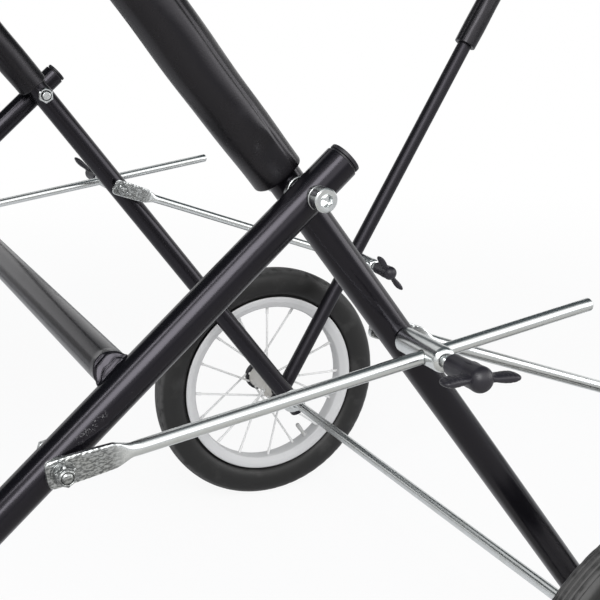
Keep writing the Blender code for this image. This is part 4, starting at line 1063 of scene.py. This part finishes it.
class TROLLEY_OT_wheels(bpy.types.Operator):
    """Tyres, rims, laced spokes and hubs"""

    bl_idname = "trolley.wheels"
    bl_label = "Wheels"

    def execute(self, context):
        for word, side in SIDES.items():
            place = Place(at(AXLE, side, HUB_OUT + HUB_LENGTH / 2), (0, side, 0), (1, 0, 0))
            body = "wheel_" + word
            rubber = finish("tyre_rubber_" + word, tyre_rubber, place.point)
            piece("tyre_" + word, [place(self.tyre())], rubber, body, ["wheel_tyre_" + word])
            valve = place(self.valve(side * sizes().valve_angle))
            piece("rim_" + word, [(place(self.rim()), 0), (valve, 1)],
                  [finish("rim_lacquer", rim_paint, tuple(looks().rim), 0.40, 0.0),
                   finish("valve_cap", moulded, (0.45, 0.45, 0.44), 0.4)], body,
                  ["wheel_rim_" + word])
            spoke = finish("spoke_steel", rim_paint, tuple(looks().spoke), 0.36, 0.0)
            hub = finish("hub_shell", rim_paint, (0.62, 0.60, 0.56), 0.40, 0.0)
            grids = [(place(self.barrel()), 0)]
            grids += [(place(grid), 1) for grid in self.ends()]
            grids += [(place(grid), 2) for grid in self.spokes()]
            piece("hub_and_spokes_" + word, grids, [hub, black_plastic(), spoke], body,
                  ["wheel_hub_" + word], 40)
        return {"FINISHED"}

    def tyre(self):
        """Tyre: a bulging section swung round the axle, with grooves in the tread.

        Half the section goes from the bead round the shoulder to the crown as radius
        m - a cos(t) and width w sin(t)^0.62. Grooves are narrow dips at set widths.
        """
        outer, seat, width = 0.171, 0.131, 0.018
        t = np.linspace(0.10, math.pi - 0.10, 90)
        radius = (outer + seat) / 2 - (outer - seat) / 2 * np.cos(t)
        across = width * np.sin(t) ** 0.62
        half = np.stack([radius, -across], 1)[:-1]
        crown = np.linspace(half[-1, 1], -half[-1, 1], 60)
        swell = outer - (outer - half[-1, 0]) * (crown / half[-1, 1]) ** 2
        rows = np.concatenate([half[:-1], np.stack([swell, crown], 1), half[-2::-1] * [1, -1]])
        groove = np.zeros(len(rows))
        for place, depth in ((0.0, 1.0), (0.0052, 0.8), (-0.0052, 0.8), (0.0098, 0.6),
                             (-0.0098, 0.6)):
            groove += depth * np.exp(-((rows[:, 1] - place) / 0.0007) ** 2) * (rows[:, 0] > 0.162)
        rows = rows - np.stack([groove * sizes().tread, np.zeros(len(rows))], 1)
        lip = np.array([[0.1300, 0.0125], [0.1190, 0.0070], [0.1190, -0.0070], [0.1300, -0.0125]])
        count = 240
        grid = turned(np.concatenate([rows, lip]), count, closed=True)
        turn = np.arange(count) * math.tau / count
        shoulder = np.exp(-((np.abs(grid[..., 2]) - 0.0125) / 0.0016) ** 2)
        shoulder = shoulder * (np.hypot(grid[..., 0], grid[..., 1]) > 0.155)
        nick = (np.sin(turn * 60) > 0.55) * sizes().tread * 0.7
        scale = 1 - shoulder * nick / 0.171
        grid[..., :2] *= scale[..., None]
        return grid

    def rim(self):
        """Box-section rim with rolled edges, swung round the axle."""
        half, inner, outer = 0.0145, 0.1145, 0.131
        section = [(inner, -half * 0.40), (inner + 0.0010, -half * 0.74),
                   (outer - 0.0075, -half * 0.97), (outer - 0.002, -half),
                   (outer, -half * 0.90), (outer - 0.0012, -half * 0.80),
                   (inner + 0.0035, -half * 0.60)]
        section = section + [(r, -h) for r, h in section[::-1]]
        return turned(eased(section, 0.0012, True), 192, closed=True)

    def valve(self, angle):
        """Valve stem with its cap, pointing at the hub."""
        out = np.array([math.cos(angle), math.sin(angle), 0.0])
        place = Place(0.1152 * out, -out, (0, 0, 1))
        rows = [(0, 0), (0.0040, 0), (0.0036, 0.002), (0.0027, 0.003), (0.0027, 0.012),
                (0.0032, 0.0125), (0.0032, 0.0225), (0.0024, 0.0240), (0, 0.0240)]
        return place(turned(eased(rows, 0.0004), 40))

    def barrel(self):
        """Hub shell: a wide barrel that tapers to its inner end, with a flange at each end."""
        half, bore = HUB_LENGTH / 2, 0.0063
        rows = [(bore, -half), (0.0100, -half), (0.0120, -0.0330), (0.0145, -0.0312),
                (0.0190, -0.0306), (0.0190, -0.0274), (0.0150, -0.0258)]
        t = np.linspace(-1, 1, 15)
        rows += [(0.0150 + 0.0014 * v, 0.0240 * v) for v in t]
        rows += [(0.0168, 0.0262), (0.0168, half - 0.008), (bore, half - 0.008)]
        return turned(eased(rows, 0.0006, True), 72, closed=True)

    def ends(self):
        """Washer and black bush on the inner end, black flange and dust cap on the outer end."""
        half, bore = HUB_LENGTH / 2, 0.0063
        bush = eased([(bore, -half - 0.0019), (0.0105, -half - 0.0019), (0.0105, -half - 0.0002),
                      (0.0088, -half), (0.0088, -half + 0.004), (bore, -half + 0.004)],
                     0.0004, True)
        cap = eased([(bore, half - 0.009), (0.0165, half - 0.0125), (0.0204, half - 0.0120),
                     (0.0204, half - 0.0060), (0.0190, half - 0.0050), (0.0186, half - 0.001),
                     (0.0176, half), (bore, half)], 0.0006, True)
        return [turned(bush, 48, closed=True), turned(cap, 72, closed=True)]

    def spokes(self):
        """Sixteen spokes, laced to alternate flanges and led alternately forward and back.

        Each runs straight from just outside its flange hole to its nipple, and its head bends
        through the flange.
        """
        grids = []
        for number in range(16):
            flange = 1 if number % 2 else -1
            lead = 1 if (number // 2) % 2 else -1
            rim_angle = math.tau * number / 16
            hub_angle = rim_angle + lead * math.radians(43.5)
            face, away = flange * 0.029, lead * flange
            hole = np.array([0.017 * math.cos(hub_angle), 0.017 * math.sin(hub_angle), 0.0])
            head = hole + [0, 0, face - away * 0.0030]
            elbow = hole + [0, 0, face + away * 0.0030]
            end = np.array([0.1150 * math.cos(rim_angle), 0.1150 * math.sin(rim_angle),
                            face * 0.10])
            line = unit(end - elbow)
            length = np.linalg.norm(end - elbow)
            t = np.linspace(0, 1, 7)[:, None]
            start = elbow - [0, 0, away * 0.0018]
            bend = (1 - t) ** 2 * start + 2 * t * (1 - t) * elbow + t ** 2 * (elbow + line * 0.003)
            run = elbow + line * np.linspace(0.006, length - 0.0112, 4)[:, None]
            path = np.concatenate([head[None], bend, run])
            grids.append(swept(path, 0.00150, 10))
            knob = swept(np.stack([head - [0, 0, away * 0.0006], head + [0, 0, away * 0.0006]]),
                         0.0021, 12)
            nipple = Place(end - line * 0.0112, line)
            cone = [(0, 0), (0.0015, 0), (0.0021, 0.0010), (0.0021, 0.0112), (0, 0.0112)]
            grids += [knob, nipple(turned(cone, 12))]
        return grids


class TROLLEY_OT_stage(bpy.types.Operator):
    """Floor, soft studio light, dark cards for the metal to mirror, and the camera"""

    bl_idname = "trolley.stage"
    bl_label = "Stage"

    def execute(self, context):
        scene = context.scene
        self.floor()
        self.world(scene)
        # direction round Z and above the floor in degrees, distance, width, height, power
        lamps = [("key", -116, 32, 3.2, 1.50, 1.90, 80.0), ("side", -152, 48, 2.4, 0.30, 1.20, 11.0),
                 ("front", -65, 25, 3.2, 3.3, 1.95, 28.0), ("right", -24, 13, 3.2, 1.9, 1.1, 22.0)]
        for name, turn, rise, distance, wide, tall, power in lamps:
            lamp = bpy.data.lights.new(name, "AREA")
            lamp.shape, lamp.size, lamp.size_y, lamp.energy = "RECTANGLE", wide, tall, power
            obj = bpy.data.objects.new(name, lamp)
            away = aim(turn, rise)
            obj.matrix_world = basis(MIDDLE + distance * away, away)
            scene.collection.objects.link(obj)
        dark, grey = (0.085, 0.105, 0.110), (0.50, 0.49, 0.47)
        for name, x, y, wide, tall in (("front", 0.0, 0.05, 9.0, 1.9), ("back", 0.0, 3.33, 9.0, 1.95),
                                       ("left", -2.75, 1.68, 3.5, 1.35),
                                       ("right", 2.68, 1.68, 3.65, 1.35)):
            self.card("card_ceiling_" + name, (x, y, 2.45), (0, 0, 1), wide, tall, dark)
        self.card("card_back", MIDDLE + 4.6 * aim(122, 1), aim(122, 1), 2.0, 1.3, grey)
        self.card("card_floor", (0.3, -1.6, 0.003), (0, 0, -1), 4.6, 2.7, grey)
        self.camera(scene)
        scene.view_settings.view_transform = "Standard"
        return {"FINISHED"}

    def floor(self):
        """Pale paper floor. The camera sees it white, but for a faint shadow near the wheels."""
        mesh = bpy.data.meshes.new("floor")
        reach = 60.0
        mesh.from_pydata([(-reach, -reach, 0), (reach, -reach, 0), (reach, reach, 0),
                          (-reach, reach, 0)], [], [(0, 1, 2, 3)])
        obj = bpy.data.objects.new("floor", mesh)
        bpy.context.scene.collection.objects.link(obj)
        shade = Shade("floor_paper", (0.86, 0.86, 0.87), 0.9)
        grain = shade.noise(9, 3)
        shade.set("Base Color", shade.blend(grain * 0.2, (0.88, 0.88, 0.89), (0.83, 0.83, 0.84)))
        path = shade.node("ShaderNodeLightPath")
        beyond = 1.0 - shade.near((0, 0, 0), 1.0, 3.2)
        seen = Value(shade, path.outputs["Is Camera Ray"]) * (0.90 + 0.10 * beyond)
        mirrored = Value(shade, path.outputs["Is Glossy Ray"]) * 0.20
        glow = shade.node("ShaderNodeEmission", None, {"Color": (1, 1, 1, 1), "Strength": 1.0})
        mix = shade.node("ShaderNodeMixShader", None, {0: seen + mirrored})
        shade.tree.links.new(shade.shader.outputs[0], mix.inputs[1])
        shade.tree.links.new(glow.outputs[0], mix.inputs[2])
        out = shade.tree.nodes["Material Output"]
        shade.tree.links.new(mix.outputs[0], out.inputs["Surface"])
        mesh.materials.append(shade.material)

    def card(self, name, place, away, wide, tall, colour):
        """A card, as in a photographer's studio: only mirror-like surfaces see it."""
        mesh = bpy.data.meshes.new(name)
        x, y = wide / 2, tall / 2
        mesh.from_pydata([(-x, -y, 0), (x, -y, 0), (x, y, 0), (-x, y, 0)], [], [(0, 1, 2, 3)])
        obj = bpy.data.objects.new(name, mesh)
        mesh.materials.append(finish(name, moulded, colour, 0.95))
        obj.matrix_world = basis(place, away)
        obj.visible_camera = obj.visible_diffuse = obj.visible_shadow = False
        obj.visible_transmission = False
        bpy.context.scene.collection.objects.link(obj)

    def world(self, scene):
        world = bpy.data.worlds.new("studio")
        scene.world = world
        world.use_nodes = True
        nodes, links = world.node_tree.nodes, world.node_tree.links
        nodes.clear()
        path = nodes.new("ShaderNodeLightPath")
        seen = nodes.new("ShaderNodeMath")
        seen.operation, seen.use_clamp = "ADD", True
        also = nodes.new("ShaderNodeMath")
        also.operation, also.use_clamp = "ADD", True
        links.new(path.outputs["Is Camera Ray"], seen.inputs[0])
        links.new(path.outputs["Is Glossy Ray"], seen.inputs[1])
        links.new(seen.outputs[0], also.inputs[0])
        links.new(path.outputs["Is Transmission Ray"], also.inputs[1])
        room, white = nodes.new("ShaderNodeBackground"), nodes.new("ShaderNodeBackground")
        room.inputs["Color"].default_value = (0.92, 0.95, 1.0, 1)
        room.inputs["Strength"].default_value = 0.38
        white.inputs["Color"].default_value = (1, 1, 1, 1)
        white.inputs["Strength"].default_value = 1.0
        mix, out = nodes.new("ShaderNodeMixShader"), nodes.new("ShaderNodeOutputWorld")
        links.new(also.outputs[0], mix.inputs[0])
        links.new(room.outputs[0], mix.inputs[1])
        links.new(white.outputs[0], mix.inputs[2])
        links.new(mix.outputs[0], out.inputs[0])

    def camera(self, scene):
        data = bpy.data.cameras.new("camera")
        data.lens, data.sensor_width = 69.02, 36.0
        data.clip_start, data.clip_end = 0.02, 60.0
        obj = bpy.data.objects.new("camera", data)
        right = (0.89718633, -0.44164600, 0.00234389)
        up = (0.11935786, 0.24757353, 0.96148897)
        back = (-0.42521805, -0.86235500, 0.27483351)
        turn = Matrix((right, up, back)).transposed().to_4x4()
        obj.matrix_world = Matrix.Translation((-0.36660, -1.03476, 0.75039)) @ turn
        scene.collection.objects.link(obj)
        scene.camera = obj


def aim(turn, rise):
    """Unit vector at an angle round Z and an angle above the floor, both in degrees."""
    turn, rise = math.radians(turn), math.radians(rise)
    return np.array([math.cos(turn) * math.cos(rise), math.sin(turn) * math.cos(rise),
                     math.sin(rise)])


def basis(place, away):
    """Matrix at a place whose +Z points away from the target, as a lamp or card needs."""
    side = unit(np.cross((0, 0, 1.0), away)) if abs(away[2]) < 0.99 else np.array([1.0, 0, 0])
    up = np.cross(away, side)
    rows = np.stack([side, up, away], 1)
    return Matrix.Translation(tuple(float(c) for c in place)) @ Matrix(rows.tolist()).to_4x4()


class TrolleyFinishes(bpy.types.PropertyGroup):
    """Colours and gloss of the trolley's finishes"""

    coat: FloatVectorProperty(name="Powder coat", description="Colour of the black tubes",
                              subtype="COLOR", size=3, min=0, max=1,
                              default=(0.0030, 0.0028, 0.0038))
    coat_roughness: FloatProperty(name="Coat roughness", description="Gloss of the tubes",
                                  default=0.21, min=0.05, max=1.0, subtype="FACTOR")
    foam: FloatVectorProperty(name="Foam", description="Colour of the sleeves", subtype="COLOR",
                              size=3, min=0, max=1, default=(0.0022, 0.0020, 0.0026))
    plastic: FloatVectorProperty(name="Plastic", description="Colour of caps and feet",
                                 subtype="COLOR", size=3, min=0, max=1,
                                 default=(0.0085, 0.0080, 0.0105))
    wing: FloatVectorProperty(name="Wing screws", description="Colour of the wing screws",
                              subtype="COLOR", size=3, min=0, max=1,
                              default=(0.0130, 0.0120, 0.0160))
    zinc: FloatVectorProperty(name="Zinc", description="Colour of the zinc plate",
                              subtype="COLOR", size=3, min=0, max=1,
                              default=(0.64, 0.66, 0.66))
    zinc_roughness: FloatProperty(name="Zinc roughness", description="Gloss of the zinc plate",
                                  default=0.25, min=0.02, max=1.0, subtype="FACTOR")
    rubber: FloatVectorProperty(name="Rubber", description="Colour of the tyres",
                                subtype="COLOR", size=3, min=0, max=1,
                                default=(0.0060, 0.0058, 0.0056))
    rim: FloatVectorProperty(name="Rim", description="Colour of the rims", subtype="COLOR",
                             size=3, min=0, max=1, default=(0.54, 0.54, 0.54))
    spoke: FloatVectorProperty(name="Spokes", description="Colour of the spokes",
                               subtype="COLOR", size=3, min=0, max=1,
                               default=(0.74, 0.74, 0.73))


class TrolleySizes(bpy.types.PropertyGroup):
    """Sizes of the trolley's fine detail"""

    weld_bead: FloatProperty(name="Weld bead", description="Radius of a crossbar's weld bead",
                             default=0.0012, min=0.0005, max=0.004, unit="LENGTH", precision=4)
    foam_seam: FloatProperty(name="Foam seam", description="Depth of a sleeve's pressed seam",
                             default=0.0006, min=0.0, max=0.002, unit="LENGTH", precision=4)
    tread: FloatProperty(name="Tread depth", description="Depth of the tyre's grooves",
                         default=0.0011, min=0.0, max=0.003, unit="LENGTH", precision=4)
    valve_angle: FloatProperty(name="Valve angle", description="Place of the valves on the rims",
                               default=math.radians(57), subtype="ANGLE")


class TROLLEY_PT_panel(bpy.types.Panel):
    """Sizes, finishes and pieces of the trolley"""

    bl_label = "Bass Drum Trolley"
    bl_idname = "TROLLEY_PT_panel"
    bl_space_type = "VIEW_3D"
    bl_region_type = "UI"
    bl_category = "Trolley"

    def draw(self, context):
        layout = self.layout
        for group in (sizes(), looks()):
            box = layout.box()
            for name in group.__annotations__:
                box.prop(group, name)
        for operator in OPERATORS:
            layout.operator(operator.bl_idname)


OPERATORS = (TROLLEY_OT_tubes, TROLLEY_OT_foam, TROLLEY_OT_ends, TROLLEY_OT_pivots,
             TROLLEY_OT_posts, TROLLEY_OT_rods, TROLLEY_OT_wing_screws, TROLLEY_OT_axle,
             TROLLEY_OT_wheels, TROLLEY_OT_stage)
CLASSES = (TrolleyFinishes, TrolleySizes, *OPERATORS, TROLLEY_PT_panel)


def register():
    for cls in CLASSES:
        bpy.utils.register_class(cls)
    bpy.types.Scene.trolley_finishes = PointerProperty(type=TrolleyFinishes)
    bpy.types.Scene.trolley_sizes = PointerProperty(type=TrolleySizes)


def unregister():
    del bpy.types.Scene.trolley_sizes
    del bpy.types.Scene.trolley_finishes
    for cls in reversed(CLASSES):
        bpy.utils.unregister_class(cls)


def main():
    register()
    for operator in OPERATORS:
        group, name = operator.bl_idname.split(".")
        getattr(getattr(bpy.ops, group), name)()
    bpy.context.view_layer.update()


if __name__ == "__main__":
    main()
